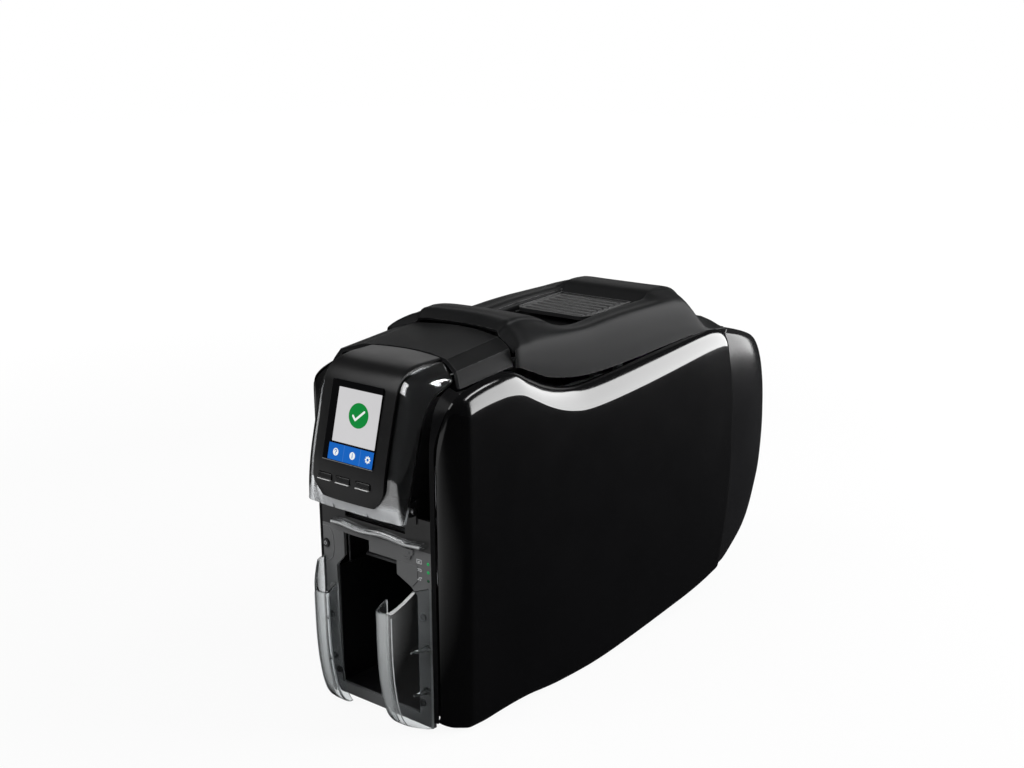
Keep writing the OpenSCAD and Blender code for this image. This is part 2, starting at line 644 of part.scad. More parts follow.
module flipper_pinch_roller() {
    color("#8b8e92") place() {
        rod(-24, 24, [flip_y - flip_roll_y, path_z + card_t + pinch_r], pinch_r);
        rod(-39.8, 39.8, [flip_y - flip_roll_y, path_z + card_t + pinch_r], 2);
    }
}

// ---------- screen door ----------

// Front line of the door at knot i, moved in by off along its own normal
function face_dir(i) =
    let (a = face_line[max(0, i - 1)], b = face_line[min(len(face_line) - 1, i + 1)], d = b - a)
    d / norm(d);
function face_at(i, off) = let (t = face_dir(i)) [face_line[i][0] + t[1] * off, face_line[i][1] - t[0] * off];
door_stations = [len(face_line) - 1:-1:0];

// The seam to the cap bows forward towards the sides
function seam_bow(x, i) = 14 * pow(x / 52, 2) * max(0, i - 10) / 2;

// Clear shell: narrow front behind the door front, and two swept-back sides
function door_ring(i, off) =
    let (f = face_at(i, 2.6 + off), e = door_edge_line[i], c = face_half + 1 - off * 0.6,
        k = [e[0] - off, e[1], e[2]], mx = mix(c, k[0], 0.5) + 2.2 - off * 0.3,
        m = [mx, mix(f[0], k[1], 0.42) - seam_bow(mx, i) * 0.5, mix(f[1], k[2], 0.5) + (i > 8 ? 1 : 0)])
    [[-k[0], k[1], k[2]], [-m[0], m[1], m[2]], [-c, f[0] + 1.35 - seam_bow(c, i), f[1]],
     [-c * 0.7, f[0] + 0.45 - seam_bow(c * 0.7, i), f[1]],
     [c * 0.7, f[0] + 0.45 - seam_bow(c * 0.7, i), f[1]],
     [c, f[0] + 1.35 - seam_bow(c, i), f[1]], [m[0], m[1], m[2]], [k[0], k[1], k[2]]];
module door_shell() {
    wall = 1.8;
    color([0.8, 0.85, 0.9, 0.4]) place() difference() {
        skin_between([for (i = door_stations) door_ring(i, 0)], [for (i = door_stations) door_ring(i, wall)]);
        on_face(0, 0) translate([-29.5, -6, -44]) cube([59, 20, 71.5]);
    }
}

// Dark front of the door, with a window for the screen glass and three key holes
module on_face(u, v) translate([0, face_mid[0], face_mid[1]]) rotate([-lean, 0, 0])
    translate([u, 0, v]) children();
key_x = [-20, -3, 15.5];
key_v = -38.2;
key_w = 13;
key_h = 4;
module door_front() {
    first = 1;
    last = len(face_line) - 1;
    half = function (i) i == 1 ? face_half - 9 : i == 2 ? face_half - 1 : face_half;
    function ring(i, off) = let (f = face_at(i, off), h = half(i), crown = 1.3)
        [for (u = [-1, -0.94, -0.8, -0.4, 0, 0.4, 0.8, 0.94, 1])
            [u * h, f[0] + crown * pow(abs(u), 3) - seam_bow(u * h, i),
             f[1] - (abs(u) > 0.97 && i > 8 ? 0.8 : 0) - (i > 10 ? 0.6 * u * u : 0)]];
    color("#18191b") place() difference() {
        skin_between([for (i = [last:-1:first]) ring(i, 0)], [for (i = [last:-1:first]) ring(i, 1.6)]);
        on_face(0, 0) translate([-glass_w / 2, -9, -glass_h / 2]) cube([glass_w, 18, glass_h]);
        for (x = key_x) on_face(x, key_v) translate([-key_w / 2 - 0.4, -12, -key_h / 2 - 0.4])
            cube([key_w + 0.8, 18, key_h + 0.8]);
    }
}

// Dark liner inside the clear sides of the shell, above the lip
module door_liner() {
    gap_to_shell = 2.3;
    rows = [len(face_line) - 1:-1:2];
    for (first = [0, 5])
        skin_between([for (i = rows) [for (j = [first:first + 2]) door_ring(i, gap_to_shell)[j]]],
            [for (i = rows) [for (j = [first:first + 2]) door_ring(i, gap_to_shell + 1)[j]]]);
}

// Carrier behind the door front, with the liner and the hinge arms
module door_frame() {
    depth = 3.4;
    color("#222326") place() {
        door_liner();
        difference() {
            on_face(0, 0) translate([-29, depth + 1.9, -43]) cube([58, 1.6, 70]);
            for (x = key_x) on_face(x, key_v) translate([-4, 0, -1.5]) cube([8, 12, 3]);
        }
        for (s = [0, 1]) mirror([s, 0, 0]) difference() {
            union() {
                rod(30.5, 35.5, door_axis, 5);
                slab(30.5, 35.5, [[-18.8, 166.5], [-7, 156.5], [-1, 163], [-16.8, 181]]);
                slab(28, 30.5, [[-18.8, 166.5], [-12, 161], [-8, 170], [-16.8, 181]]);
            }
            rod(29, 37, door_axis, pin_r + running);
        }
    }
}

module screen_glass() {
    color("#060708") place() on_face(0, 0)
        translate([-glass_w / 2 + 0.2, -0.4, -glass_h / 2 + 0.2]) cube([glass_w - 0.4, 1.2, glass_h - 0.4]);
}
module screen_panel() {
    color("#d9dcdf") place() on_face(0, 0) translate([-19.6, 1, -25.8]) cube([42, 4, 47]);
}
module menu_key(x) on_face(x, key_v) {
    translate([-key_w / 2, 0.6, -key_h / 2]) cube([key_w, 3.4, key_h]);
    translate([-3, 4, -1]) cube([6, 2.2, 2]);
}
module menu_key_left() { color("#242528") place() menu_key(key_x[0]); }
module menu_key_middle() { color("#242528") place() menu_key(key_x[1]); }
module menu_key_right() { color("#242528") place() menu_key(key_x[2]); }

// ---------- top cover ----------

cover_cols = [61.5, 61.3, 60, 57, 49, 41, 37, 19, 0];
cover_stations = [100, 106, 112, 122, 132, 142, 152, 165, 185, 205, 225, 246, 252, 257, 262, 270,
    282, 288, 295, 302, 309, 316, 328, 340];
function cover_height(c, y) =
    let (edge = curve(y, cover_edge_line), crease = curve(y, cover_crease_line))
    c == 0 ? edge : c == 1 ? mix(edge, crease, 0.35) : c == 2 ? mix(edge, crease, 0.8)
    : c == 3 ? crease : c == 4 ? mix(crease, curve(y, cover_rail_line), 0.6)
    : c == 5 ? curve(y, cover_rail_line) : curve(y, cover_mid_line);
function cover_point(y, j, off) =
    let (c = j < 9 ? j : 16 - j, a = cover_cols[c] * cover_half / 61.5,
        lean_y = -20 * pow(a / cover_half, 2) * max(0, 1 - (y - 100) / 55),
        inset = c < 3 ? off : c < 6 ? off * 0.6 : 0)
    [(j < 9 ? 1 : -1) * (a - inset), y + lean_y + (y > 335 ? -off : 0),
     cover_height(c, y) - (c < 2 ? 0 : c == 2 ? off * 0.4 : off)];
// Forward-facing bevel of the collar, ahead of the first station
function collar_point(j, off) = let (p = cover_point(100, j, 0), a = abs(p[0]))
    [p[0] * (a > 56 ? 0.985 : 0.94) - sign(p[0]) * off * 0.5, p[1] - 8 + 5 * pow(a / 61, 2) + off * 0.6,
     p[2] - (a > 59 ? 0 : 5.2) - off];
module top_cover() {
    color("#232426") place() difference() {
        skin_between(concat([[for (j = [0:16]) collar_point(j, 0)]],
                [for (y = cover_stations) [for (j = [0:16]) cover_point(y, j, 0)]]),
            concat([[for (j = [0:16]) collar_point(j, skin * 0.6)]],
                [for (y = cover_stations) [for (j = [0:16]) cover_point(y, j, skin)]]));
        block([-9, 214, 240], [9, 232, 262]);
    }
}

module cover_hinge_arms() {
    color("#2b2c2f") place() for (s = [0, 1]) mirror([s, 0, 0]) difference() {
        union() {
            rod(38, 42.5, cover_axis, 4.5);
            slab(38, 42.5, [[333, 227.5], [336.5, 229], [322, 236], [309, 247.4], [292, 259], [284, 252]]);
        }
        rod(37, 44, cover_axis, pin_r + running);
    }
}

// Ribbed finger pad that frees the latch when pressed
pad_front = 190;
pad_back = 248;
pad_low = 257;
pad_high = 260.6;
module release_button() {
    slope_a = atan((pad_high - pad_low) / (pad_back - pad_front));
    length = norm([pad_back - pad_front, pad_high - pad_low]);
    corner = 8;
    color("#2a2b2d") place() {
        translate([0, pad_front, pad_low - 3.2]) rotate([slope_a, 0, 0]) {
            linear_extrude(2.4) {
                translate([-34, corner]) square([68, length - corner]);
                translate([-34 + corner, 0]) square([68 - 2 * corner, corner]);
                for (s = [-1, 1]) translate([s * (34 - corner), corner]) circle(r = corner);
            }
            for (i = [0:6]) translate([-29, 6 + i * 7.2, 2.4]) cube([58, 4, 0.8]);
        }
        block([-5, 218, 246], [5, 228, 256.4]);
        block([-3.5, 218, 240.1], [3.5, 221, 246]);
    }
}

module cover_latch() {
    axis = [236, 241];
    color("#4b4e52") place() {
        rod(-40.5, 40.5, axis, 2.2);
        for (s = [0, 1]) mirror([s, 0, 0]) difference() {
            slab(36.5, 40, [[233, 243], [240, 241], [226, 205], [212, 200], [206, 200.5], [206, 202.8],
                [215, 202.8], [218, 206], [221, 212]]);
            rod(36, 41, axis, 1.9);
        }
        slab(-4, 4, [[218, 236.6], [238, 239], [238, 243], [218, 239.4]]);
    }
}

module printhead_carrier() {
    color("#6c6f74") place() {
        block([-30, platen_y - 9, 168], [30, platen_y + 9, 172]);
        for (s = [0, 1]) mirror([s, 0, 0]) {
            block([26, platen_y - 6, 172], [30, platen_y + 6, 240]);
            block([26, platen_y - 10, 240], [34, platen_y + 8, 246.5]);
        }
    }
}
module printhead() {
    color("#d8d4c6") place() slab(-29, 29, [[platen_y - 9, 168], [platen_y + 9, 168],
        [platen_y + 9, 152], [platen_y + 1.5, 142.4], [platen_y - 1.5, 142.4], [platen_y - 9, 152]]);
}

base_tray();
rubber_feet();
side_panel_right();
side_panel_left();
front_plate();
front_columns();
feed_fascia();
light_strip();
front_cap();
output_bin();
bin_wing_right();
bin_wing_left();
frame_right();
frame_left();
card_hopper();
card_guides();
card_weight();
rear_bulkhead();
flipper_housing();
io_panel();
rear_sockets();
main_board();
drive_motor();
motor_pinion();
gear_motors();
drive_belt();
hinge_pins();
status_lights();
panel_screws();
power_button();
feed_roller();
feed_shaft();
front_roller();
front_shaft();
platen_roller();
platen_shaft();
rear_roller();
rear_shaft();
cleaning_roller();
pinch_roller();
take_up_spool();
supply_spool();
flipper_cradle();
flipper_roller();
flipper_pinch_roller();
door_front();
door_shell();
door_frame();
screen_glass();
screen_panel();
menu_key_left();
menu_key_middle();
menu_key_right();
top_cover();
cover_hinge_arms();
release_button();
cover_latch();
printhead();
printhead_carrier();
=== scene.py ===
import math

import bmesh
import bpy
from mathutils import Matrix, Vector


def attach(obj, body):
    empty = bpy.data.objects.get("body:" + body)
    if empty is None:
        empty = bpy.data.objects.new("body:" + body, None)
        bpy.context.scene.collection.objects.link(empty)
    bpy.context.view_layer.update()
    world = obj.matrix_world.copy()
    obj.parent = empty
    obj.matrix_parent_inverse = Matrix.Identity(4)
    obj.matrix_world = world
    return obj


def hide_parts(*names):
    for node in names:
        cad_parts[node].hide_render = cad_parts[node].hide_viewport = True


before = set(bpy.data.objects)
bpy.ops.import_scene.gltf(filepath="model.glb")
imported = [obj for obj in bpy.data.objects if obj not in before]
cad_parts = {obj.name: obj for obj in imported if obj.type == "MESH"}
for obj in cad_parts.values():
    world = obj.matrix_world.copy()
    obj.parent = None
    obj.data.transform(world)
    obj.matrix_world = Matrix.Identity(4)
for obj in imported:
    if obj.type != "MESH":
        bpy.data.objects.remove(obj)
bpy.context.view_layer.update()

# ---------------------------------------------------------------- camera, floor and light
# The photographer's table: a pale sweep under the printer, one large soft box behind it on the
# right that draws the long white shine along the shoulder, one high in front, a strip over the right
# side and one low behind. Gloss mirrors a dark room, as in the photograph, and one white card.
PLATE_FRONT = 206.0                     # the drawings count Y from the grey front plate, in mm


def at(x, y, z):
    """A point of the drawings, in mm from the front plate, as metres in the shared frame."""
    return Vector((x / 1000, (y - PLATE_FRONT) / 1000, z / 1000))


scene = bpy.context.scene
scene.view_settings.view_transform = "Standard"


def look(thing, place, target):
    thing.location = place
    thing.rotation_euler = (Vector(target) - Vector(place)).to_track_quat("-Z", "Y").to_euler()
    scene.collection.objects.link(thing)


CAMERA_PLACE, CAMERA_AIM = (633.7, -616.0, 454.6), (0, 150, 120)    # fitted to the photograph
camera_data = bpy.data.cameras.new("Camera")
camera_data.lens = 48.49
camera_data.sensor_width = 36
camera_data.shift_x = -0.0037
camera_data.shift_y = 0.111
camera_data.clip_start = 0.02
camera = bpy.data.objects.new("Camera", camera_data)
look(camera, at(*CAMERA_PLACE), at(*CAMERA_AIM))
scene.camera = camera


def put(tree, kind, *options, **sockets):
    """A shader node of that kind; a socket takes a number, a colour or another node's output."""
    made = tree.nodes.new("ShaderNode" + kind)
    for option, value in options:
        setattr(made, option, value)
    for label, value in sockets.items():
        socket = made.inputs[int(label[1:]) if label[1:].isdigit() else label.replace("_", " ")]
        if isinstance(value, bpy.types.NodeSocket):
            tree.links.new(value, socket)
        else:
            socket.default_value = value
    return made


def sums(tree, operation, a, b=0.0, clamp=False):
    return put(tree, "Math", ("operation", operation), ("use_clamp", clamp), _0=a, _1=b).outputs[0]


def times(tree, a, b):
    return sums(tree, "MULTIPLY", a, b)


ROOM_FILL = 0.32                        # what the room gives to matt surfaces
ROOM_IN_GLOSS = 0.035                   # what gloss sees of it
world = bpy.data.worlds.new("Studio")
world.use_nodes = True
scene.world = world
room = world.node_tree


def straight_through(tree, rays):
    """1 for the camera's rays and for those that only passed through clear parts, 0 once mirrored."""
    unmirrored = sums(tree, "SUBTRACT", 1.0, rays["Glossy Depth"], clamp=True)
    passed = times(tree, rays["Is Transmission Ray"], unmirrored)
    return sums(tree, "MAXIMUM", rays["Is Camera Ray"], passed)


rays = put(room, "LightPath").outputs
seen = straight_through(room, rays)
mirrored = sums(room, "MINIMUM", rays["Glossy Depth"], 1.0)
level = sums(room, "ADD", times(room, seen, 1 - ROOM_FILL), ROOM_FILL)
level = sums(room, "SUBTRACT", level, times(room, mirrored, ROOM_FILL - ROOM_IN_GLOSS))
room.nodes["Background"].inputs["Color"].default_value = (1, 1, 1, 1)
room.links.new(level, room.nodes["Background"].inputs["Strength"])

FLOOR_HALF = 6.0
SHADOW_END, WHITE_FROM = 0.7, 2.4       # m from the printer: the floor takes shadow, then is plain white
FLOOR_WHITE, WHITE_NEAR = 1.08, 0.86    # the floor's own white, and its share near the printer
FLOOR_GREY, GREY_IN_GLOSS, WHITE_IN_GLOSS, CARD_IN_GLOSS = 0.3, 0.02, 0.004, 0.75
floor_mesh = bpy.data.meshes.new("floor")
floor_mesh.from_pydata([(x * FLOOR_HALF, y * FLOOR_HALF, 0) for x, y in ((-1, -1), (1, -1), (1, 1), (-1, 1))],
                       [], [(0, 1, 2, 3)])
floor = bpy.data.objects.new("floor", floor_mesh)
scene.collection.objects.link(floor)
sweep = bpy.data.materials.new("floor_sweep")
sweep.use_nodes = True
tree = sweep.node_tree
tree.nodes.clear()
rays = put(tree, "LightPath").outputs
seen = straight_through(tree, rays)
mirrored = sums(tree, "MINIMUM", rays["Glossy Depth"], 1.0)
here = put(tree, "TexCoord").outputs["Object"]
away = put(tree, "VectorMath", ("operation", "LENGTH"), _0=here)
away = put(tree, "MapRange", Value=away.outputs["Value"], From_Min=SHADOW_END, From_Max=WHITE_FROM,
           To_Min=WHITE_NEAR, To_Max=1.0).outputs[0]
# a white card lies on the table in front, where the clear guides mirror it
side_of = put(tree, "SeparateXYZ", Vector=here).outputs
card_right = put(tree, "MapRange", Value=side_of["X"], From_Min=0.45, From_Max=0.1, To_Max=CARD_IN_GLOSS)
card_front = put(tree, "MapRange", Value=side_of["Y"], From_Min=-0.28, From_Max=-0.5)
card = times(tree, card_right.outputs[0], card_front.outputs[0])
share = sums(tree, "ADD", times(tree, seen, away),
             times(tree, mirrored, sums(tree, "MAXIMUM", card, WHITE_IN_GLOSS)), clamp=True)
tone = sums(tree, "SUBTRACT", FLOOR_GREY, times(tree, mirrored, FLOOR_GREY - GREY_IN_GLOSS))
paper = put(tree, "BsdfDiffuse", Color=tone).outputs[0]
bright = put(tree, "Emission", Color=(1, 1, 1, 1), Strength=FLOOR_WHITE).outputs[0]
mixed = put(tree, "MixShader", _0=share, _1=paper, _2=bright).outputs[0]
put(tree, "OutputMaterial", Surface=mixed)
floor_mesh.materials.append(sweep)

LIT_POINT = (0, -0.02, 0.16)            # what every lamp points at
for name, place, width, height, radiance in (("shoulder_box", (0.86, 1.02, 0.5), 1.25, 0.98, 10.0),
                                             ("front_box", (-0.55, -1.25, 1.45), 1.6, 1.4, 3.2),
                                             ("top_strip", (0.62, 0.35, 1.15), 0.5, 0.16, 12.0),
                                             ("rear_box", (-1.05, 1.1, 0.75), 0.9, 0.5, 0.9)):
    lamp = bpy.data.lights.new(name, "AREA")
    lamp.shape = "RECTANGLE"
    lamp.size = width
    lamp.size_y = height
    lamp.energy = radiance * math.pi * width * height
    box = bpy.data.objects.new(name, lamp)
    look(box, place, LIT_POINT)
    box.visible_camera = False

# ---------------------------------------------------------------- base tray
# The floor of the body, one black moulding of matt ABS that the frames and the side panels screw
# to. It shows only underneath, between the feet.


def new_group(name, inputs, outputs):
    """A shader node group with number inputs (name, value) and number outputs."""
    tree = bpy.data.node_groups.new(name, "ShaderNodeTree")
    for label, value in inputs:
        tree.interface.new_socket(label, in_out="INPUT", socket_type="NodeSocketFloat").default_value = value
    for label in outputs:
        tree.interface.new_socket(label, in_out="OUTPUT", socket_type="NodeSocketFloat")
    return tree, tree.nodes.new("NodeGroupInput").outputs, tree.nodes.new("NodeGroupOutput").inputs


# Spark-eroded mould grain: fine pebbles in Height, broad uneven gloss in Patch
grain_group, given, asked = new_group("mould_grain", (("Scale", 2500), ("Depth", 1)), ("Height", "Patch"))
place = put(grain_group, "TexCoord").outputs["Object"]
pebble = put(grain_group, "TexVoronoi", Vector=place, Scale=given["Scale"]).outputs["Distance"]
speckle = put(grain_group, "TexNoise", Vector=place, Scale=given["Scale"], Detail=3.0).outputs[0]
relief = times(grain_group, sums(grain_group, "ADD", pebble, speckle), given["Depth"])
grain_group.links.new(relief, asked["Height"])
cloud = put(grain_group, "TexNoise", Vector=place, Scale=22.0, Detail=5.0, Roughness=0.6).outputs[0]
grain_group.links.new(cloud, asked["Patch"])

# Worn edges and painted edge highlights: lighter where a rounded normal leaves the true one, broken up by
# noise
wear_and_glint_group, given, asked = new_group("edge_rub_and_glint", (("Width", 0.0006), ("Amount", 0.5)), ("Rub_and_glint",))
place = put(wear_and_glint_group, "TexCoord").outputs["Object"]
eased = put(wear_and_glint_group, "Bevel", ("samples", 4), Radius=given["Width"]).outputs[0]
turn = put(wear_and_glint_group, "VectorMath", ("operation", "DOT_PRODUCT"), _0=eased,
           _1=put(wear_and_glint_group, "NewGeometry").outputs["Normal"]).outputs["Value"]
edge = put(wear_and_glint_group, "MapRange", Value=turn, From_Min=0.99, From_Max=0.86).outputs[0]
broken = put(wear_and_glint_group, "TexNoise", Vector=place, Scale=260.0, Detail=4.0).outputs[0]
broken = put(wear_and_glint_group, "MapRange", Value=broken, From_Min=0.38, From_Max=0.62).outputs[0]
wear_and_glint_group.links.new(times(wear_and_glint_group, times(wear_and_glint_group, edge, broken), given["Amount"]), asked["Rub_and_glint"])

# Dust that settles on faces that look up, thin and in specks
dust_group, given, asked = new_group("dust_film", (("Amount", 0.1),), ("Dust",))
space = put(dust_group, "TexCoord").outputs
up = put(dust_group, "SeparateXYZ", Vector=space["Normal"]).outputs["Z"]
up = put(dust_group, "MapRange", Value=up, From_Min=0.35, From_Max=1.0).outputs[0]
veil = put(dust_group, "TexNoise", Vector=space["Object"], Scale=60.0, Detail=6.0).outputs[0]
speck = put(dust_group, "TexVoronoi", Vector=space["Object"], Scale=700.0).outputs["Distance"]
speck = put(dust_group, "MapRange", Value=speck, From_Min=0.14, From_Max=0.07).outputs[0]
both = sums(dust_group, "ADD", times(dust_group, veil, 0.45), speck, clamp=True)
dust_group.links.new(times(dust_group, times(dust_group, both, up), given["Amount"]), asked["Dust"])

# Hairlines from wiping, drawn along two directions
hair_group, given, asked = new_group("wiping_hairlines", (("Amount", 0.1),), ("Hair",))
place = put(hair_group, "TexCoord").outputs["Object"]
lines = []
for stretch, slant in (((900, 30, 2600), 0.4), ((30, 1400, 2300), -0.5)):
    turned = put(hair_group, "Mapping", Vector=place, Rotation=(slant, slant, 0.3), Scale=stretch).outputs[0]
    line = put(hair_group, "TexNoise", Vector=turned, Scale=1.0, Detail=2.0).outputs[0]
    lines.append(put(hair_group, "MapRange", Value=line, From_Min=0.66, From_Max=0.78).outputs[0])
hair_group.links.new(times(hair_group, sums(hair_group, "MAXIMUM", *lines), given["Amount"]), asked["Hair"])


def blend_colour(tree, factor, a, b):
    return put(tree, "Mix", ("data_type", "RGBA"), _0=factor, _6=a, _7=b).outputs[2]


def use_group(tree, group, **values):
    made = tree.nodes.new("ShaderNodeGroup")
    made.node_tree = group
    for label, value in values.items():
        made.inputs[label].default_value = value
    return made.outputs


def finish(name, colour, rough, grain=(2500, 0.5), rub_and_glint=0.3, rub_and_glint_colour=None, dust=0.06, hair=0.05,
           uneven=0.25, bump=0.00004, **constants):
    """A worked surface: mould grain, rubbed edges that are partly painted edge highlights, settled dust and
    hairlines over one colour.
    constants are Principled sockets that stay the same all over."""
    made = bpy.data.materials.new(name)
    made.use_nodes = True
    tree = made.node_tree
    tree.nodes.clear()
    grains = use_group(tree, grain_group, Scale=grain[0], Depth=grain[1])
    rubs_and_glints = use_group(tree, wear_and_glint_group, Amount=rub_and_glint)["Rub_and_glint"]
    dusts = use_group(tree, dust_group, Amount=dust)["Dust"]
    hairs = use_group(tree, hair_group, Amount=hair)["Hair"]
    dark = (*[c * (1 - uneven) for c in colour], 1)
    light = (*[c * (1 + uneven) for c in colour], 1)
    tone = blend_colour(tree, grains["Patch"], dark, light)
    worn_and_glint_colour = rub_and_glint_colour or [min(1, c * 2.2 + 0.02) for c in colour]
    tone = blend_colour(tree, rubs_and_glints, tone, (*worn_and_glint_colour, 1))
    tone = blend_colour(tree, dusts, tone, (0.42, 0.41, 0.39, 1))
    gloss = sums(tree, "ADD", times(tree, grains["Patch"], 0.10), rough - 0.05)
    gloss = sums(tree, "ADD", gloss, times(tree, sums(tree, "ADD", dusts, hairs), 0.7), clamp=True)
    relief = sums(tree, "SUBTRACT", grains["Height"], hairs)
    normal = put(tree, "Bump", Height=relief, Distance=bump).outputs[0]
    shader = put(tree, "BsdfPrincipled", Base_Color=tone, Roughness=gloss, Normal=normal, **constants)
    put(tree, "OutputMaterial", Surface=shader.outputs[0])
    return made


def round_edges(piece, radius, segments=2):
    """Rounds the sharp edges of a piece by a modifier, which leaves the mesh under it alone."""
    bevel = piece.modifiers.new("round_edges", "BEVEL")
    bevel.width = radius / 1000
    bevel.segments = segments
    bevel.limit_method = "ANGLE"
    bevel.angle_limit = math.radians(35)
    bevel.use_clamp_overlap = True
    bevel.harden_normals = True


def dress(material, *nodes, edge=None):
    """Gives CAD nodes a material of their own, and edges rounded by edge mm."""
    for name in nodes:
        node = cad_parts[name]
        node.data.materials.clear()
        node.data.materials.append(material)
        if edge:
            round_edges(node, edge)


matt_black = finish("tray_black", (0.012, 0.012, 0.0125), 0.52, grain=(2200, 0.6))
dress(matt_black, "base_tray", edge=0.4)

# ---------------------------------------------------------------- rubber feet
# Four round feet of moulded rubber pushed into the tray, taller at the back where the tray rises.
rubber = finish("foot_rubber", (0.018, 0.018, 0.018), 0.72, grain=(1500, 0.8), rub_and_glint=0.2, dust=0.12,
                hair=0)
dress(rubber, "rubber_feet", edge=0.9)

# ---------------------------------------------------------------- steel side frames and hinge pins
# Two blanked plates of zinc-plated steel that carry every shaft, with turned pins for the hinges.


def bare_metal(name, colour, rough, brushed=0.5, **extra):
    return finish(name, colour, rough, grain=(5200, brushed), rub_and_glint=0.5, rub_and_glint_colour=(0.75, 0.75, 0.76),
                  dust=0.05, hair=0.2, uneven=0.12, bump=0.00001, Metallic=1.0, **extra)


zinc_plate = bare_metal("zinc_plate", (0.47, 0.48, 0.5), 0.36)
ground_steel = bare_metal("ground_steel", (0.6, 0.6, 0.61), 0.22, brushed=0.2)
dress(zinc_plate, "frame_right", "frame_left", edge=0.15)
dress(ground_steel, "hinge_pins", edge=0.2)

# ---------------------------------------------------------------- card path mouldings
# Hopper, guides, the weight on the cards and the rear bulkhead: dark ABS with fine mould grain,
# screwed between the two frames.
inner_abs = finish("inner_abs", (0.02, 0.02, 0.021), 0.45, grain=(2600, 0.5))
guide_grey = finish("guide_grey", (0.05, 0.051, 0.053), 0.4, grain=(2600, 0.4))
dress(inner_abs, "card_hopper", "rear_bulkhead", "flipper_cradle", edge=0.3)
dress(guide_grey, "card_guides", "card_weight", edge=0.3)

# ---------------------------------------------------------------- rollers, shafts and drive
# Ground steel shafts with rubber sleeves, nylon gears, one toothed belt, the can motor and two
# flat gear motors; the cleaning roller is sticky clear silicone on its own shaft.
sleeve_rubber = finish("sleeve_rubber", (0.045, 0.046, 0.05), 0.62, grain=(1800, 0.7), rub_and_glint=0.25)
silicone = finish("cleaning_silicone", (0.42, 0.5, 0.56), 0.2, grain=(900, 0.3), rub_and_glint=0, uneven=0.08,
                  Subsurface_Weight=0.2)
nylon = finish("gear_nylon", (0.62, 0.55, 0.4), 0.38, grain=(2000, 0.3), rub_and_glint=0.2, uneven=0.08)
can_steel = bare_metal("motor_can", (0.3, 0.31, 0.33), 0.34)
belt_rubber = finish("belt_rubber", (0.012, 0.012, 0.012), 0.66, grain=(1600, 0.9))
solder_mask = finish("solder_mask", (0.012, 0.09, 0.035), 0.3, grain=(700, 0.8), rub_and_glint=0.2)
dress(sleeve_rubber, "feed_roller", "front_roller", "platen_roller", "rear_roller", "flipper_roller",
      edge=0.35)
dress(ground_steel, "feed_shaft", "front_shaft", "platen_shaft", "rear_shaft", "pinch_roller",
      "flipper_pinch_roller", edge=0.15)
dress(silicone, "cleaning_roller", edge=0.3)
dress(nylon, "motor_pinion", edge=0.08)
dress(can_steel, "drive_motor", "gear_motors", edge=0.3)
dress(belt_rubber, "drive_belt")
dress(solder_mask, "main_board", edge=0.1)

# ---------------------------------------------------------------- ribbon spools and printhead
# Moulded cores wound with dye film, and the ceramic head glued to its sheet-metal carrier, which
# hangs from the top cover.
dye_film = finish("dye_film", (0.05, 0.02, 0.07), 0.24, grain=(600, 0.2), rub_and_glint=0.1, hair=0.15)
take_up_film = finish("take_up_film", (0.02, 0.02, 0.026), 0.24, grain=(600, 0.2), rub_and_glint=0.1, hair=0.15)
ceramic = finish("head_ceramic", (0.66, 0.63, 0.55), 0.42, grain=(3000, 0.4), rub_and_glint=0.1, uneven=0.06)
dress(take_up_film, "take_up_spool", edge=0.25)
dress(dye_film, "supply_spool", edge=0.25)
dress(ceramic, "printhead", edge=0.3)
dress(zinc_plate, "printhead_carrier", edge=0.3)

# ---------------------------------------------------------------- output bin
# A deep tray of semi-gloss black ABS behind the opening of the front plate; the cards drop in it.
bin_black = finish("bin_black", (0.006, 0.006, 0.0065), 0.34, grain=(2400, 0.4), dust=0.04)
dress(bin_black, "output_bin", edge=0.6)

# ---------------------------------------------------------------- side panels
# Left and right piano-black covers, injection moulded and polished, swelling towards the middle
# and rolling over in a soft shoulder; they clip on the tray and the front columns.


def catmull(a, b, c, d, t):
    return (b * 2 + (c - a) * t + (a * 2 - b * 5 + c * 4 - d) * t * t
            + (b * 3 - a - c * 3 + d) * t * t * t) * 0.5


def smooth_row(points, steps):
    """steps new points for every given one, on the smooth curve through them."""
    last = len(points) - 1
    row = []
    for i in range(last):
        a, b, c, d = points[max(0, i - 1)], points[i], points[i + 1], points[min(last, i + 2)]
        row += [catmull(a, b, c, d, step / steps) for step in range(steps)]
    return row + [points[last]]


def smooth_grid(grid, along, across):
    """A finer grid of points on the smooth surface through the given rows."""
    wide = [smooth_row([Vector(p) for p in row], across) for row in grid]
    tall = [smooth_row([row[j] for row in wide], along) for j in range(len(wide[0]))]
    return [[column[i] for column in tall] for i in range(len(tall[0]))]


def curve(x, knots):
    """The drawings' smooth curve through (x, value) knots."""
    i = 0
    while i < len(knots) - 2 and x >= knots[i + 1][0]:
        i += 1

    def slope(k):
        low, high = max(0, k - 1), min(len(knots) - 1, k + 1)
        return (knots[high][1] - knots[low][1]) / (knots[high][0] - knots[low][0])

    h = knots[i + 1][0] - knots[i][0]
    t = min(1, max(0, (x - knots[i][0]) / h))
    return ((2 * t**3 - 3 * t**2 + 1) * knots[i][1] + (t**3 - 2 * t**2 + t) * h * slope(i)
            + (3 * t**2 - 2 * t**3) * knots[i + 1][1] + (t**3 - t**2) * h * slope(i + 1))


def mix(a, b, t):
    return a + (b - a) * t


def edge_drop(distance, radius):
    """How far a rounded edge of that radius falls away at that distance from its end."""
    return 0 if distance >= radius else radius - math.sqrt(max(0, radius**2 - (radius - distance)**2))


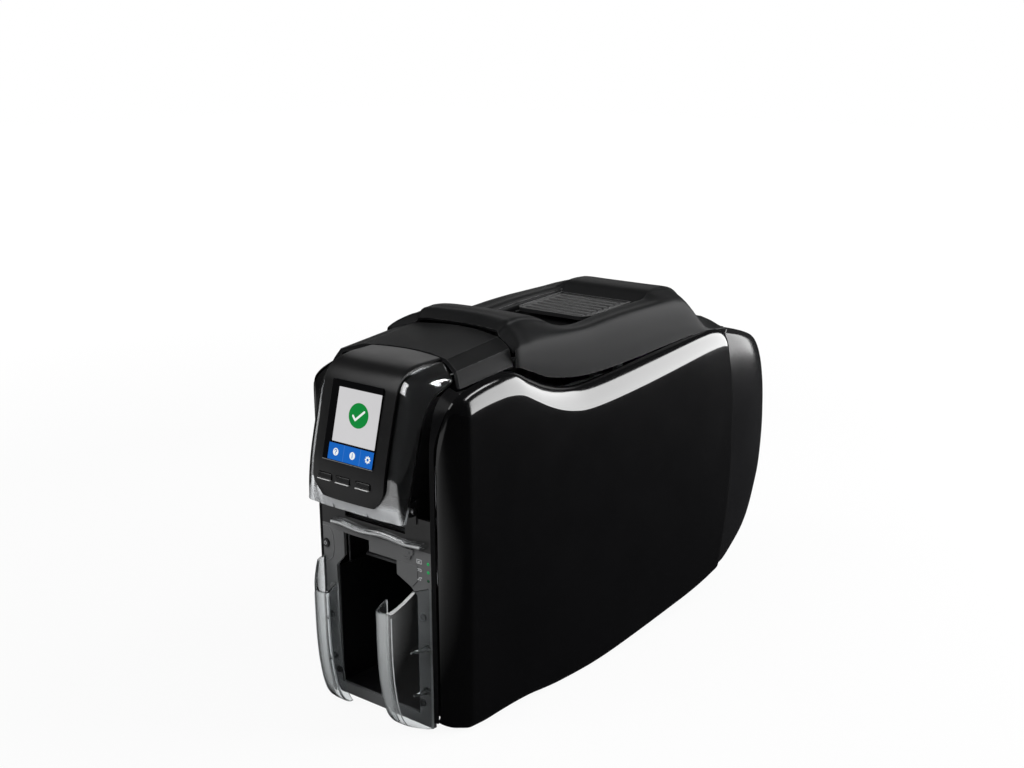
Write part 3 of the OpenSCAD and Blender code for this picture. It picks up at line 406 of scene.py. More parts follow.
def make_piece(name, points, faces, material, body, slot, stands_for=(), sharp=38):
    """A mesh of points (mm, as drawn) that rides on a body, smooth but for edges over sharp degrees."""
    mesh = bpy.data.meshes.new(name)
    mesh.from_pydata([at(*p) for p in points], [], faces)
    mesh.validate()
    work = bmesh.new()
    work.from_mesh(mesh)
    bmesh.ops.remove_doubles(work, verts=work.verts, dist=2e-6)
    bmesh.ops.recalc_face_normals(work, faces=work.faces)
    work.to_mesh(mesh)
    work.free()
    mesh.materials.append(material)
    mesh.shade_smooth()
    mesh.set_sharp_from_angle(angle=math.radians(sharp))
    piece = bpy.data.objects.new(name, mesh)
    scene.collection.objects.link(piece)
    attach(piece, body)
    if stands_for:
        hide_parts(*stands_for)
    return piece


def shell_faces(rows, columns):
    """Faces of a closed skin between an outer grid and an inner one numbered after it."""
    half = rows * columns
    faces = []
    for i in range(rows - 1):
        for j in range(columns - 1):
            o = i * columns + j
            faces.append((o, o + 1, o + columns + 1, o + columns))
            faces.append((half + o, half + o + columns, half + o + columns + 1, half + o + 1))
    for j in range(columns - 1):
        for i in (0, rows - 1):
            o = i * columns + j
            faces.append((o, half + o, half + o + 1, o + 1))
    for i in range(rows - 1):
        for j in (0, columns - 1):
            o = i * columns + j
            faces.append((o, o + columns, half + o + columns, half + o))
    return faces


def skin(name, outer, inner, material, body, slot, stands_for=(), sharp=38, mirror=False):
    points = [p for grid in (outer, inner) for row in grid for p in row]
    if mirror:
        points = [(-p[0], p[1], p[2]) for p in points]
    return make_piece(name, points, shell_faces(len(outer), len(outer[0])), material, body, slot,
                      stands_for, sharp)


SKIN = 2.4                              # wall of the mouldings
PANEL_FRONT, PANEL_REAR = 2.5, 351
PANEL_IN = 62                           # inner edge of the shoulder
BODY_HALF = 74
panel_top_line = ((2.5, 193), (3.4, 203), (4.8, 213), (7, 223), (9, 229.4), (12, 232.8), (16, 235),
                  (21, 236.9), (28, 239), (36, 240.7), (50, 242.8), (60, 243.6), (68, 243.3),
                  (78, 240.8), (86, 237), (103, 229.5), (118, 224.5), (135, 221), (151, 220),
                  (181, 221.5), (240, 226), (287, 229.5), (320, 231), (342, 230), (351, 226))
panel_foot_line = ((2.5, 7), (4, 5.6), (7, 4), (12, 2.4), (18, 1.4), (26, 1), (37, 1), (57, 2.4),
                   (84, 3), (105, 1.6), (121, 0.8), (159, 0.8), (185, 2.2), (215, 5), (262, 9.8),
                   (323, 16.4), (351, 23))
panel_back_line = ((18, 331), (31, 339), (58, 345.5), (99, 351), (141, 350.5), (177, 348),
                   (200, 341), (231, 336))
panel_stations = (2.5, 2.8, 3.5, 4.6, 6.2, 8.2, 10.6, 13.5, 16.5, 19.5, 26, 36, 48, 60, 74, 88, 102,
                  116, 130, 145, 165, 190, 220, 250, 280, 305, 325, 338, 345, 349, 351)


def panel_x(y):
    if y < 190:
        return BODY_HALF - 3.5 * ((190 - y) / 186)**2
    return BODY_HALF - 3.6 * ((y - 190) / 162)**2


ROLL_IN, ROLL_DEPTH, ROLL_POWER = 14.7, 17, 1.3


def front_roll(distance):
    """How far the panel's front edge rolls in towards the plate, almost as a slant."""
    if distance >= ROLL_DEPTH:
        return 0
    return ROLL_IN * (1 - (1 - (1 - distance / ROLL_DEPTH)**ROLL_POWER)**(1 / ROLL_POWER))


def panel_point(y, j, off):
    x = panel_x(y) - front_roll(y - PANEL_FRONT) - edge_drop(PANEL_REAR - y, 6)
    low, high = j < 5, j > 8
    angle = math.radians(-90 + 22.5 * j if low else 15 * (j - 9) if high else 0)
    shoulder = max(SKIN + 0.3, x - PANEL_IN)
    drop = min(22, 4 + shoulder * 1.45)
    reach_x = min(5, shoulder) if low else shoulder
    foot, top = curve(y, panel_foot_line) + 8, curve(y, panel_top_line) - drop
    z = (foot + (8 - off) * math.sin(angle) if low else
         top + (drop - off) * math.sin(angle) if high else mix(foot, top, (j - 4) / 5))
    reach = (curve(z, panel_back_line) - PANEL_FRONT) / (PANEL_REAR - PANEL_FRONT)
    return (x - reach_x + (reach_x - off) * math.cos(angle),
            PANEL_FRONT + (y - PANEL_FRONT) * reach
            + 0.8 * off * max(0, 1 - (y - PANEL_FRONT) / ROLL_DEPTH), z)


piano_black = finish("piano_black", (0.0018, 0.0018, 0.0021), 0.125, grain=(160, 0.5), rub_and_glint=0.12,
                     rub_and_glint_colour=(0.03, 0.03, 0.03), dust=0.012, hair=0.02, bump=0.000015)
panel_grids = [smooth_grid([[panel_point(y, j, off) for j in range(16)] for y in panel_stations], 4, 4)
               for off in (0, SKIN)]
for name, mirror in (("side_panel_right", False), ("side_panel_left", True)):
    skin(name + "_cover", *panel_grids, piano_black, "chassis", "gloss_black", (name,), mirror=mirror)

# ---------------------------------------------------------------- flipping unit
# Gloss black shell, D-shaped in plan, that hangs on the rear bulkhead round the card flipper. One
# moulding, with a trough for the cover's rear edge and a window for the sockets.


def box_frame(x, y, z):
    """Drawing axes at a point: u to the right, v up, depth d back into the object."""
    return lambda u, v, d: (x + u, y + d, z + v)


def rounded(width, height, radius, steps=5):
    """A rectangle with rounded corners, about the origin, as [u, v] points."""
    points = []
    for k, (sx, sy) in enumerate(((1, 1), (-1, 1), (-1, -1), (1, -1))):
        for step in range(steps + 1):
            a = math.radians(90 * (k + step / steps))
            points.append((sx * (width / 2 - radius) + radius * math.cos(a),
                           sy * (height / 2 - radius) + radius * math.sin(a)))
    return points


def disc(radius, steps=32, u=0, v=0):
    return [(u + radius * math.cos(2 * math.pi * k / steps), v + radius * math.sin(2 * math.pi * k / steps))
            for k in range(steps)]


def sleeve(loops, count):
    """Faces between closed loops of count points each, numbered one loop after the other."""
    return [(low + k, low + (k + 1) % count, low + count + (k + 1) % count, low + count + k)
            for low in range(0, loops * count, count) for k in range(count)]


def prism_mesh(outline, front, back, axes):
    """An outline of [u, v] points drawn out from depth front to depth back."""
    count = len(outline)
    points = [axes(u, v, d) for d in (front, back) for u, v in outline]
    ends = [tuple(range(count)), tuple(range(2 * count - 1, count - 1, -1))]
    return points, ends + sleeve(1, count)


def sideways(u, v, d):
    """Axes for an outline seen from the side: its depth runs along X."""
    return d, u, v


def stack_meshes(solids):
    """Several (points, faces) as one."""
    points, faces = [], []
    for more, loops in solids:
        faces += [tuple(len(points) + k for k in loop) for loop in loops]
        points += more
    return points, faces


def cutter(solid):
    mesh = bpy.data.meshes.new("cutter")
    mesh.from_pydata([at(*p) for p in solid[0]], [], solid[1])
    work = bmesh.new()
    work.from_mesh(mesh)
    bmesh.ops.recalc_face_normals(work, faces=work.faces)
    work.to_mesh(mesh)
    work.free()
    made = bpy.data.objects.new("cutter", mesh)
    scene.collection.objects.link(made)
    return made


def settle(piece, sharp=38):
    """Turns a piece's modifiers into its mesh."""
    bpy.context.view_layer.update()
    done = bpy.data.meshes.new_from_object(piece.evaluated_get(bpy.context.evaluated_depsgraph_get()))
    piece.modifiers.clear()
    piece.data = done
    done.shade_smooth()
    done.set_sharp_from_angle(angle=math.radians(sharp))


def cut(piece, *solids, sharp=38):
    """Takes solids out of a piece."""
    tools = [cutter(solid) for solid in solids]
    for tool in tools:
        step = piece.modifiers.new("cut", "BOOLEAN")
        step.operation = "DIFFERENCE"
        step.solver = "EXACT"
        step.object = tool
    settle(piece, sharp)
    for tool in tools:
        bpy.data.objects.remove(tool)


def bar_mesh(x0, x1, centre, radius, steps=48):
    """A round bar along X through centre (Y, Z)."""
    return prism_mesh(disc(radius, steps, *centre), x0, x1, sideways)


COVER_AXIS = (336, 228)
UNIT_FRONT = 341.5
unit_line = ((14.5, 344), (15.5, 353), (18, 366), (20, 374), (28, 386), (40, 400), (54, 410.5),
             (76, 419.5), (95, 425.5), (125, 428.5), (150, 427.5), (170, 425), (190, 419.5),
             (204, 411.5), (212, 401), (218, 383), (222, 361), (223.5, 351), (224, 344))
unit_stations = (14.5, 15.5, 18, 20, 24, 30, 38, 48, 60, 76, 95, 125, 150, 170, 186, 196, 204, 210, 214,
                 218, 220.5, 222, 223.5, 224)


def unit_point(z, j, off):
    back = curve(z, unit_line)
    half = 62 - 5 * (abs(z - 125) / 105)**3 - off
    bow = 9.5 * min(1, (back - UNIT_FRONT) / 60)
    deep = max(1, back + bow - UNIT_FRONT - off)
    c, s = math.cos(math.pi * j / 72), math.sin(math.pi * j / 72)
    return (-math.copysign(half * abs(c)**0.42, c), UNIT_FRONT + deep * max(0, s)**0.42,
            z + (-off if z > 120 else off))


unit_heights = smooth_row(list(unit_stations), 4)
unit_black = finish("unit_black", (0.006, 0.006, 0.0065), 0.16, grain=(300, 0.5), rub_and_glint=0.15, dust=0.02,
                    hair=0.03, bump=0.00002, Specular_IOR_Level=0.15)
unit_shell = skin("flipping_unit_shell",
                  *[[[unit_point(z, j, off) for j in range(73)] for z in unit_heights] for off in (0, SKIN)],
                  unit_black, "chassis", "gloss_black", ("flipper_housing",))
cut(unit_shell, bar_mesh(-70, 70, COVER_AXIS, 14.8),
    prism_mesh(rounded(80, 40, 4), -30, 30, box_frame(0, 415, 64)))

# ---------------------------------------------------------------- connector panel and sockets
# A dark moulded panel set deep in the window, with the metal shells of the power, network and USB
# sockets behind it, each in its own cut-out.
dress(inner_abs, "io_panel", edge=0.3)
socket_metal = bare_metal("socket_shell", (0.45, 0.46, 0.48), 0.28)
dress(socket_metal, "rear_sockets", edge=0.12)

# ---------------------------------------------------------------- front columns
# Thin gloss black mouldings at both front corners, between the plate and the side panels; at the
# top they widen into a crown that sweeps back under the edge of the screen door.
column_rows = (((51.6, 0, 7), (54.6, 1, 7)), ((51.6, 0, 60), (54.6, 1, 60)),
               ((51.6, 0, 120), (54.6, 1, 120)), ((51.6, 0.1, 172), (54.6, 1, 172)),
               ((51.6, 0.3, 194), (54.6, 1.1, 191.5)), ((51.6, 0.9, 205.5), (54.8, 1.6, 203)),
               ((51.6, 2.2, 214), (56.3, 3.2, 212)), ((51.6, 4.6, 223), (58.8, 5.8, 221.6)),
               ((51.6, 7.8, 229.8), (60.7, 8.2, 228)), ((51.6, 11.5, 234.2), (61.4, 11.7, 231.8)),
               ((51.8, 16, 237.4), (61.4, 16, 234.3)), ((52, 20.4, 239.2), (61.4, 20.4, 236)))


def column_at(i, t, off):
    """A point t of the way across row i, moved in by off square to the column's front line."""
    def across(k):
        inner, outer = column_rows[min(len(column_rows) - 1, max(0, k))]
        return Vector(inner).lerp(Vector(outer), t)

    run = across(i + 1) - across(i - 1)
    return across(i) + Vector((0, run.z, -run.y)) * (off / math.hypot(run.y, run.z))


column_black = finish("column_black", (0.005, 0.005, 0.0055), 0.28, grain=(400, 0.5), dust=0.03,
                      hair=0.04, Specular_IOR_Level=0.06)
column_grids = [smooth_grid([[column_at(i, t, off) for t in (1, 0.75, 0.5, 0.25, 0)]
                             for i in range(len(column_rows))], 5, 2) for off in (0, 1)]
column_faces = shell_faces(len(column_grids[0]), len(column_grids[0][0]))
columns = [([(side * p[0], p[1], p[2]) for grid in column_grids for row in grid for p in row], column_faces)
           for side in (1, -1)]
make_piece("front_column_pair", *stack_meshes(columns), column_black, "chassis", "gloss_black",
           ("front_columns",))

# ---------------------------------------------------------------- front plate
# A separate grey moulding with a stepped opening for the cards, screwed on over the bin. It has a
# catch for the bin door, clip slots, the outline round the power button and white pad-printed signs.
PRINT = 0.12                            # how proud a sign stands
plate_grey = finish("plate_grey", (0.125, 0.127, 0.129), 0.42, grain=(2600, 0.6), dust=0.05)
white_ink = finish("white_ink", (0.62, 0.63, 0.64), 0.5, grain=(4000, 0.3), rub_and_glint=0, dust=0.02, uneven=0.08)
dress(plate_grey, "front_plate", edge=0.5)


def ribbon(points, width, closed=False):
    """The [u, v] outlines of short bars that draw a line of that width through points."""
    ends = list(zip(points, points[1:] + points[:1] if closed else points[1:]))
    bars = []
    for (u0, v0), (u1, v1) in ends:
        long = math.hypot(u1 - u0, v1 - v0)
        nu, nv = -(v1 - v0) / long * width / 2, (u1 - u0) / long * width / 2
        bars.append([(u0 + nu, v0 + nv), (u0 - nu, v0 - nv), (u1 - nu, v1 - nv), (u1 + nu, v1 + nv)])
        bars.append(disc(width / 2, 12, u0, v0))
    if not closed:
        bars.append(disc(width / 2, 12, *points[-1]))
    return bars


def signs(name, outlines, axes, material, body, slot, front=-PRINT, back=0.3, step=0.004):
    """Flat signs drawn as outlines, all one piece; each stands a step prouder than the one before."""
    return make_piece(name, *stack_meshes([prism_mesh(o, front - step * k, back, axes)
                                           for k, o in enumerate(outlines)]), material, body, slot)


front_axes = box_frame(0, 0, 0)


def moved(outlines, u, v, size=1.0):
    return [[(u + size * a, v + size * b) for a, b in o] for o in outlines]


card_sign = ribbon([(-1.9, -1.2), (1.9, -1.2), (1.9, 1.2), (-1.9, 1.2)], 0.42, closed=True)
card_sign += ribbon([(-1.0, 0.1), (0.9, 0.1)], 0.4) + ribbon([(-1.0, -0.5), (0.2, -0.5)], 0.35)
ribbon_sign = [bar for u in (-1.3, 1.3) for bar in ribbon(disc(0.75, 14, u, 0), 0.36, closed=True)]
ribbon_sign += ribbon([(-1.3, 0.85), (1.3, 0.85)], 0.34)
link_sign = ribbon([(-1.7, -0.9), (-0.6, -0.9), (0.2, 0.7), (1.5, 0.7)], 0.42)
link_sign += [disc(0.5, 14, -1.8, -0.9), disc(0.5, 14, 1.7, 0.7), disc(0.45, 14, 0.9, -0.8)]
LIGHT_ROWS = (123, 117, 111)            # heights of the three status lights
row_signs = [bar for sign, height in zip((card_sign, ribbon_sign, link_sign), LIGHT_ROWS)
             for bar in moved(sign, 41, height, 1.1)]
signs("status_signs", row_signs, front_axes, white_ink, "chassis", "plate_grey")

power_arc = [(1.15 * math.sin(math.radians(a)), 1.15 * math.cos(math.radians(a))) for a in range(35, 326, 29)]
power_sign = moved(ribbon(power_arc, 0.34) + ribbon([(0, 0.3), (0, 1.55)], 0.34), -48.5, 115.5)
signs("power_sign", power_sign, front_axes, white_ink, "power_button", "plate_grey", front=-1.2 - PRINT,
      back=-1.0)
half_ring = [(-51.3, 128.4), (-46.4, 128.4), (-42.2, 124.2), (-41.2, 119.0), (-41.2, 111.4), (-42.4, 106.4),
             (-46.2, 103.0), (-51.3, 103.0)]
# lighter grey on the raised outline right of the power button and on the clip lips: painted highlights
edge_highlight_grey = finish("plate_edge_highlight", (0.17, 0.172, 0.175), 0.35, grain=(2600, 0.4), dust=0.04)
signs("power_surround", ribbon(half_ring, 0.55), front_axes, edge_highlight_grey, "chassis", "plate_grey", front=-0.3)

catch_outline = [(25.5, 130.2), (36.5, 130.2), (36.0, 126.6), (34.2, 125.8), (33.9, 123.2), (28.1, 123.2),
                 (27.8, 125.8), (26.0, 126.6)]
catch = make_piece("bin_door_catch", *stack_meshes([
    prism_mesh(catch_outline, -1.1, 0.3, front_axes),
    prism_mesh(rounded(4.4, 1.5, 0.5), -1.7, 0.3, box_frame(31, 0, 127.4)),
    prism_mesh(rounded(6.2, 1.0, 0.4), -1.9, 0.3, box_frame(31, 0, 124.0))]),
    plate_grey, "chassis", "plate_grey")
round_edges(catch, 0.25)
ledge = make_piece("plate_ledges", *stack_meshes([
    prism_mesh(outline, -0.55, 0.3, front_axes)
    for outline in (((22.0, 119.6), (39.5, 119.6), (39.5, 108.4), (34.6, 103.6), (22.0, 109.4)),
                    ((-30.2, 127.6), (-30.2, 109.6), (-38.0, 101.6), (-40.2, 101.6), (-40.2, 127.6)))]),
    plate_grey, "chassis", "plate_grey")
round_edges(ledge, 0.35)

slot_shade_black = finish("slot_shade", (0.003, 0.003, 0.003), 0.6, grain=(2400, 0.4), rub_and_glint=0, dust=0)
CLIP_SPOTS = ((46.6, 62), (45.2, 30), (-46.6, 62), (-45.2, 30))
slot_shapes = [rounded(5.6, 2.6, 0.4), rounded(2.2, 5.2, 0.4)]
lip_shapes = [bar for v in (3.2, -3.2) for bar in ribbon([(-3.4, v), (3.2, v)], 0.5)]
# the clip slots are flat black shapes on the plate: painted shade standing for the holes
signs("clip_slots", [shape for u, v in CLIP_SPOTS for shape in moved(slot_shapes, u, v)], front_axes,
      slot_shade_black, "chassis", "inner_black", front=-0.08)
# the lips above and below each clip slot: painted highlights on the slots' edges
signs("clip_lips", [shape for u, v in CLIP_SPOTS for shape in moved(lip_shapes, u, v)], front_axes,
      edge_highlight_grey, "chassis", "plate_grey", front=-0.35)

# ---------------------------------------------------------------- status lights and screws
# Three LEDs behind clear pips, two lit green and the third dark, and four zinc-plated screws.


def principled(material):
    return next(node for node in material.node_tree.nodes if node.type == "BSDF_PRINCIPLED")


def lit(name, colour, strength, dim=0.75, rough=0.2):
    """A lamp or screen colour that glows unevenly, as backlights do."""
    made = finish(name, [c * 0.2 for c in colour], rough, grain=(1500, 0.2), rub_and_glint=0, dust=0.02, hair=0.01)
    tree, shader = made.node_tree, principled(made)
    patch = use_group(tree, grain_group, Scale=60.0, Depth=0.2)["Patch"]
    glow = blend_colour(tree, patch, (*[c * dim for c in colour], 1), (*colour, 1))
    tree.links.new(glow, shader.inputs["Emission Color"])
    shader.inputs["Emission Strength"].default_value = strength
    return made


lamp_green = lit("lamp_green", (0.015, 0.32, 0.09), 0.8)
lamp_dark = finish("lamp_dark", (0.01, 0.07, 0.03), 0.2, grain=(900, 0.2), rub_and_glint=0)
screw_zinc = bare_metal("screw_zinc", (0.35, 0.35, 0.36), 0.32)
LIGHT_X, LIGHT_RADIUS, LIGHT_SIDES = 49, 1.2, 20
for name, height, glow in zip(("upper_light", "middle_light", "lower_light"), LIGHT_ROWS,
                              (lamp_green, lamp_green, lamp_dark)):
    rings = [(LIGHT_RADIUS * math.cos(a), 0.3 - 0.8 * (LIGHT_RADIUS * math.sin(a)))
             for a in (math.radians(15 * k) for k in range(7))] + [(LIGHT_RADIUS, 2.0)]
    points = [(u, y, v) for radius, y in rings for u, v in disc(radius, LIGHT_SIDES, LIGHT_X, height)]
    root = 7 * LIGHT_SIDES              # the ring sunk in the plate comes last, next to ring 0
    faces = sleeve(6, LIGHT_SIDES)
    faces += [(k, (k + 1) % LIGHT_SIDES, root + (k + 1) % LIGHT_SIDES, root + k) for k in range(LIGHT_SIDES)]
    faces.append(tuple(range(root, root + LIGHT_SIDES)))
    make_piece(name, points, faces, glow, "chassis", "lens_green",
               ("status_lights",) if name == "upper_light" else ())
dress(screw_zinc, "panel_screws", edge=0.1)

# ---------------------------------------------------------------- power button
# A round cap of satin black plastic in a hole of the front plate, sprung from behind.
button_black = finish("button_black", (0.012, 0.012, 0.013), 0.38, grain=(2400, 0.4))
dress(button_black, "power_button", edge=0.4)

# ---------------------------------------------------------------- feed fascia and light strip
# The dark band over the front plate, with the slot for feeding single cards by hand and the lugs
# of the door's hinge; below it a wavy strip of clear acrylic hangs over the plate's top edge.
fascia_black = finish("fascia_black", (0.01, 0.01, 0.0105), 0.4, grain=(2400, 0.5))
dress(fascia_black, "feed_fascia", edge=0.4)


def clear_plastic(name, tint, rough, haze=0.0, haze_top=2.0):
    """Clear moulding; haze is the milky share of its front strip, below haze_top of its height."""
    # their rubbed edges turn whitish: partly wear, partly painted rim highlights
    made = finish(name, tint, rough, grain=(240, 0.6), rub_and_glint=0.1, rub_and_glint_colour=(0.9, 0.9, 0.9), dust=0.03,
                  hair=0.05, uneven=0.03, bump=0.00003, Transmission_Weight=1.0, IOR=1.49,
                  Coat_Weight=1.0, Coat_IOR=1.85, Coat_Roughness=0.05)
    tree = made.node_tree
    at = put(tree, "TexCoord").outputs
    facing = put(tree, "SeparateXYZ", Vector=at["Normal"]).outputs["Y"]
    height = put(tree, "SeparateXYZ", Vector=at["Generated"]).outputs["Z"]
    front = put(tree, "MapRange", Value=facing, From_Min=-0.84, From_Max=-0.96, To_Max=haze).outputs[0]
    low = put(tree, "MapRange", Value=height, From_Min=haze_top + 0.04, From_Max=haze_top).outputs[0]
    milky = times(tree, front, low)
    tree.links.new(sums(tree, "SUBTRACT", 1.0, milky), principled(made).inputs["Transmission Weight"])
    return made


clear_acrylic = clear_plastic("clear_acrylic", (0.93, 0.95, 0.96), 0.07, haze=0.3)
strip_points, strip_inner = [], []
for k in range(69):
    x = -39 + 85 * k / 68
    top, low = 136.6 + 0.8 * math.sin(math.radians(x * 9)), 132.4 + 0.6 * math.sin(math.radians(x * 9))
    swell = 0.5 * math.sin(math.radians(x * 5))
    ring = [(0, low), (-2.6, low - 0.2), (-4.2 + swell, low + 0.5), (-4.6 + swell, mix(low, top, 0.5)),
            (-3.9 + swell, top - 0.4), (-2.4, top), (0, top)]
    strip_points.append([(x, y, z) for y, z in ring])
    strip_inner.append([(x, min(-0.05, y + 1.5), mix(z, mix(low, top, 0.5), 0.35)) for y, z in ring])
skin("acrylic_strip", smooth_grid(strip_points, 1, 3), smooth_grid(strip_inner, 1, 3), clear_acrylic,
     "chassis", "clear_plastic", ("light_strip",), sharp=50)

# ---------------------------------------------------------------- guide wings of the output bin
# Two clear polycarbonate guides, thick-walled mouldings with a rounded front strip, a return
# flange inwards and an outer wall that sweeps back to the plate, hooked into its clip slots.
wing_line = ((2.6, -9), (5, -12), (9, -15.4), (14, -18.2), (23, -21.2), (38, -24), (50, -25.2),
             (61, -25.8), (75, -25.95), (106, -26))
wing_outside = ((22.6, 0.55), (22.6, 0.84), (23.6, 0.95), (27, 1), (33, 0.98), (38, 0.87), (43, 0.66),
                (48, 0.36), (51.4, 0.004))
wing_inside = ((24.6, 0.55, 0.1), (24.6, 0.84, 0.6), (25.4, 0.95, 1.8), (27.8, 1, 2), (32.2, 0.98, 2),
               (36.6, 0.87, 1.8), (41.2, 0.66, 1.5), (46, 0.36, 1), (49, 0, -0.05))
wing_heights = smooth_row([2.6, 5, 9, 14, 22, 31, 40, 49, 58, 67, 76, 86, 96, 106], 4)
wing_outer = [[(x, curve(z, wing_line) * share, z) for x, share in reversed(wing_outside)]
              for z in wing_heights]
wing_inner = [[(x, min(-0.05, curve(z, wing_line) * share + wall), z)
               for x, share, wall in reversed(wing_inside)] for z in wing_heights]
RIB_HEIGHTS, BEAD_X = (30, 62), (23.1, 36.6)
clear_guide = clear_plastic("clear_guide", (0.9, 0.93, 0.94), 0.06, haze=0.36)
guide_bead_highlight = finish("guide_bead_highlight", (0.62, 0.64, 0.65), 0.2, grain=(900, 0.3), rub_and_glint=0.1, dust=0.02)
slant_cuts = [((30, 60), ((-40, 91), (-23.5, 91), (-11, 105.5), (-11, 120), (-40, 120))),
              ((10, 31), ((-40, 91), (-24, 91), (-14, 96), (-5, 96), (-5, 120), (-40, 120)))]


def upright(u, v, d):
    """Axes for an outline seen from above: its depth runs along Z."""
    return u, v, d


for name, side in (("bin_wing_right", 1), ("bin_wing_left", -1)):
    wing = skin(name + "_guide", smooth_grid(wing_outer, 1, 4), smooth_grid(wing_inner, 1, 4), clear_guide,
                "chassis", "clear_plastic", (name,), mirror=side < 0)
    cut(wing, *[prism_mesh(outline, side * x0, side * x1, sideways)
                for (x0, x1), outline in slant_cuts])
    round_edges(wing, 0.45)
    # two gusset ribs that stiffen the outer wall
    ribs = []
    for z in RIB_HEIGHTS:
        reach = curve(z, wing_line)
        ribs.append(prism_mesh([(side * 50.2, -0.4), (side * 44.5, reach * 0.5), (side * 43.2, reach * 0.5),
                                (side * 44.2, -0.4)], z - 0.7, z + 0.7, upright))
    make_piece(name + "_ribs", *stack_meshes(ribs), clear_guide, "chassis", "clear_plastic")
    # the two fine beads along the edges of the front strip, in pale grey: painted highlights of the clear
    # ridges
    beads = []
    heights = [z for z in wing_heights if 5 <= z <= 90]
    for x in BEAD_X:
        share = curve(x, wing_outside[1:])
        outline = [(curve(z, wing_line) * share - 0.25, z) for z in heights]
        outline += [(curve(z, wing_line) * share + 0.5, z) for z in reversed(heights)]
        beads.append(prism_mesh(outline, side * x, side * (x + 0.5), sideways))
    make_piece(name + "_beads", *stack_meshes(beads), guide_bead_highlight, "chassis", "clear_plastic")

# ---------------------------------------------------------------- front cap
# The fixed piece of charcoal ABS between the screen door and the top cover, spark-eroded matt, with
# two ridges along each side; the sign on it in the photograph is left off.
# its edges are lightened strongly: painted highlights along the edges and ridges of the cap and the cover
charcoal = finish("charcoal_abs", (0.008, 0.0082, 0.0087), 0.47, grain=(2600, 0.9), rub_and_glint=0.55,
                  rub_and_glint_colour=(0.16, 0.16, 0.162), dust=0.03, hair=0.04, bump=0.00006,
                  Specular_IOR_Level=0.06)
CAP_HALF = (59.4, 57, 53.8, 52.8, 45, 38.6, 37.2, 18, 0)
CAP_LOW = (239, 243.6, 248.6, 249.4, 251.6, 253.4, 253.7, 254.3, 254.4)
CAP_HIGH = (244.6, 249.2, 254.6, 255.6, 258, 259.9, 260.2, 261.4, 262)


def cap_point(j, s, off):
    c, side = (j, -1) if j < 9 else (16 - j, 1)
    a = CAP_HALF[c]
    front, back = 40.4 - 14 * (a / 52)**2, 89 - 11 * (a / 54)**2.4
    return (side * a * (1 - off / 62), mix(front, back, s),
            mix(CAP_LOW[c], CAP_HIGH[c], s) - off * (0 if c == 0 else 1))


cap_grids = [smooth_grid([[cap_point(j, s, off) for j in range(17)]
                          for s in (0, 0.1, 0.25, 0.5, 0.75, 0.9, 1)], 4, 4) for off in (0, SKIN)]
skin("cap_between_door_and_cover", *cap_grids, charcoal, "chassis", "cover_charcoal", ("front_cap",),
     sharp=14)

# ---------------------------------------------------------------- screen door: carrier and clear shell
# The door swings down over the hopper. Its clear polycarbonate shell wraps the sides of the dark
# front and ends below in a lip with two small notches; a black carrier behind holds the screen.
dress(inner_abs, "door_frame", edge=0.25)
FACE_HALF = 33
LEAN = math.radians(14.3)
face_line = ((-22.8, 153), (-24.6, 162), (-24.8, 172), (-23.8, 182), (-21.6, 193), (-16.3, 214),
             (-11.5, 232), (-9, 240), (-4.5, 246.5), (3, 250.6), (13, 252.6), (25, 253.6), (38, 254))
door_edge_line = ((46, -16.5, 154), (46.6, -14.5, 162.5), (47, -12.5, 171), (47.3, -10.5, 180),
                  (47.6, -8, 191), (48, -4.2, 205), (48.5, 0.2, 221), (48.9, 4, 228.6),
                  (49.4, 8.6, 233.4), (50, 13.6, 236.8), (50.6, 19, 239), (51, 22.6, 240.8),
                  (51, 25, 242.6))


def face_at(i, off):
    """Knot i of the door's front line, moved in by off."""
    a, b = face_line[max(0, i - 1)], face_line[min(len(face_line) - 1, i + 1)]
    dy, dz = b[0] - a[0], b[1] - a[1]
    long = math.hypot(dy, dz)
    return face_line[i][0] + dz / long * off, face_line[i][1] - dy / long * off


def seam_bow(x, i):
    return 14 * (x / 52)**2 * max(0, i - 10) / 2


def shell_ring(i, off):
    y, z = face_at(i, 2.6 + off)
    edge = door_edge_line[i]
    c, kx = FACE_HALF + 1 - off * 0.6, edge[0] - off
    mx = mix(c, kx, 0.5) + 2.2 - off * 0.3
    half = [(kx, edge[1], edge[2]),
            (mx, mix(y, edge[1], 0.42) - seam_bow(mx, i) * 0.5, mix(z, edge[2], 0.5) + (1 if i > 8 else 0)),
            (c, y + 1.35 - seam_bow(c, i), z), (c * 0.7, y + 0.45 - seam_bow(c * 0.7, i), z)]
    return [(-x, *rest) for x, *rest in half] + [tuple(p) for p in reversed(half)]


def face_axes(u, v, d):
    """Axes on the leaning door front, about the middle of the screen glass."""
    return (u, -16.3 + d * math.cos(LEAN) + v * math.sin(LEAN),
            213.9 - d * math.sin(LEAN) + v * math.cos(LEAN))


clear_door = clear_plastic("clear_door", (0.86, 0.88, 0.9), 0.06, haze=0.45, haze_top=0.09)
door_rings = range(len(face_line) - 1, -1, -1)
door_shell = skin("clear_door_shell", *[smooth_grid([shell_ring(i, off) for i in door_rings], 4, 5)
                                        for off in (0, 1.8)],
                  clear_door, "screen_door", "clear_plastic", ("door_shell",))
lip_notches = [prism_mesh([(x - 0.7, -30), (x + 0.7, -30), (x + 0.7, -17), (x - 0.7, -17)], 150, 156.4,
                          upright) for x in (-17.5, 14.5)]
cut(door_shell, prism_mesh([(u, v - 8.25) for u, v in rounded(59, 71.5, 5)], -6, 14, face_axes), *lip_notches)
round_edges(door_shell, 0.35)

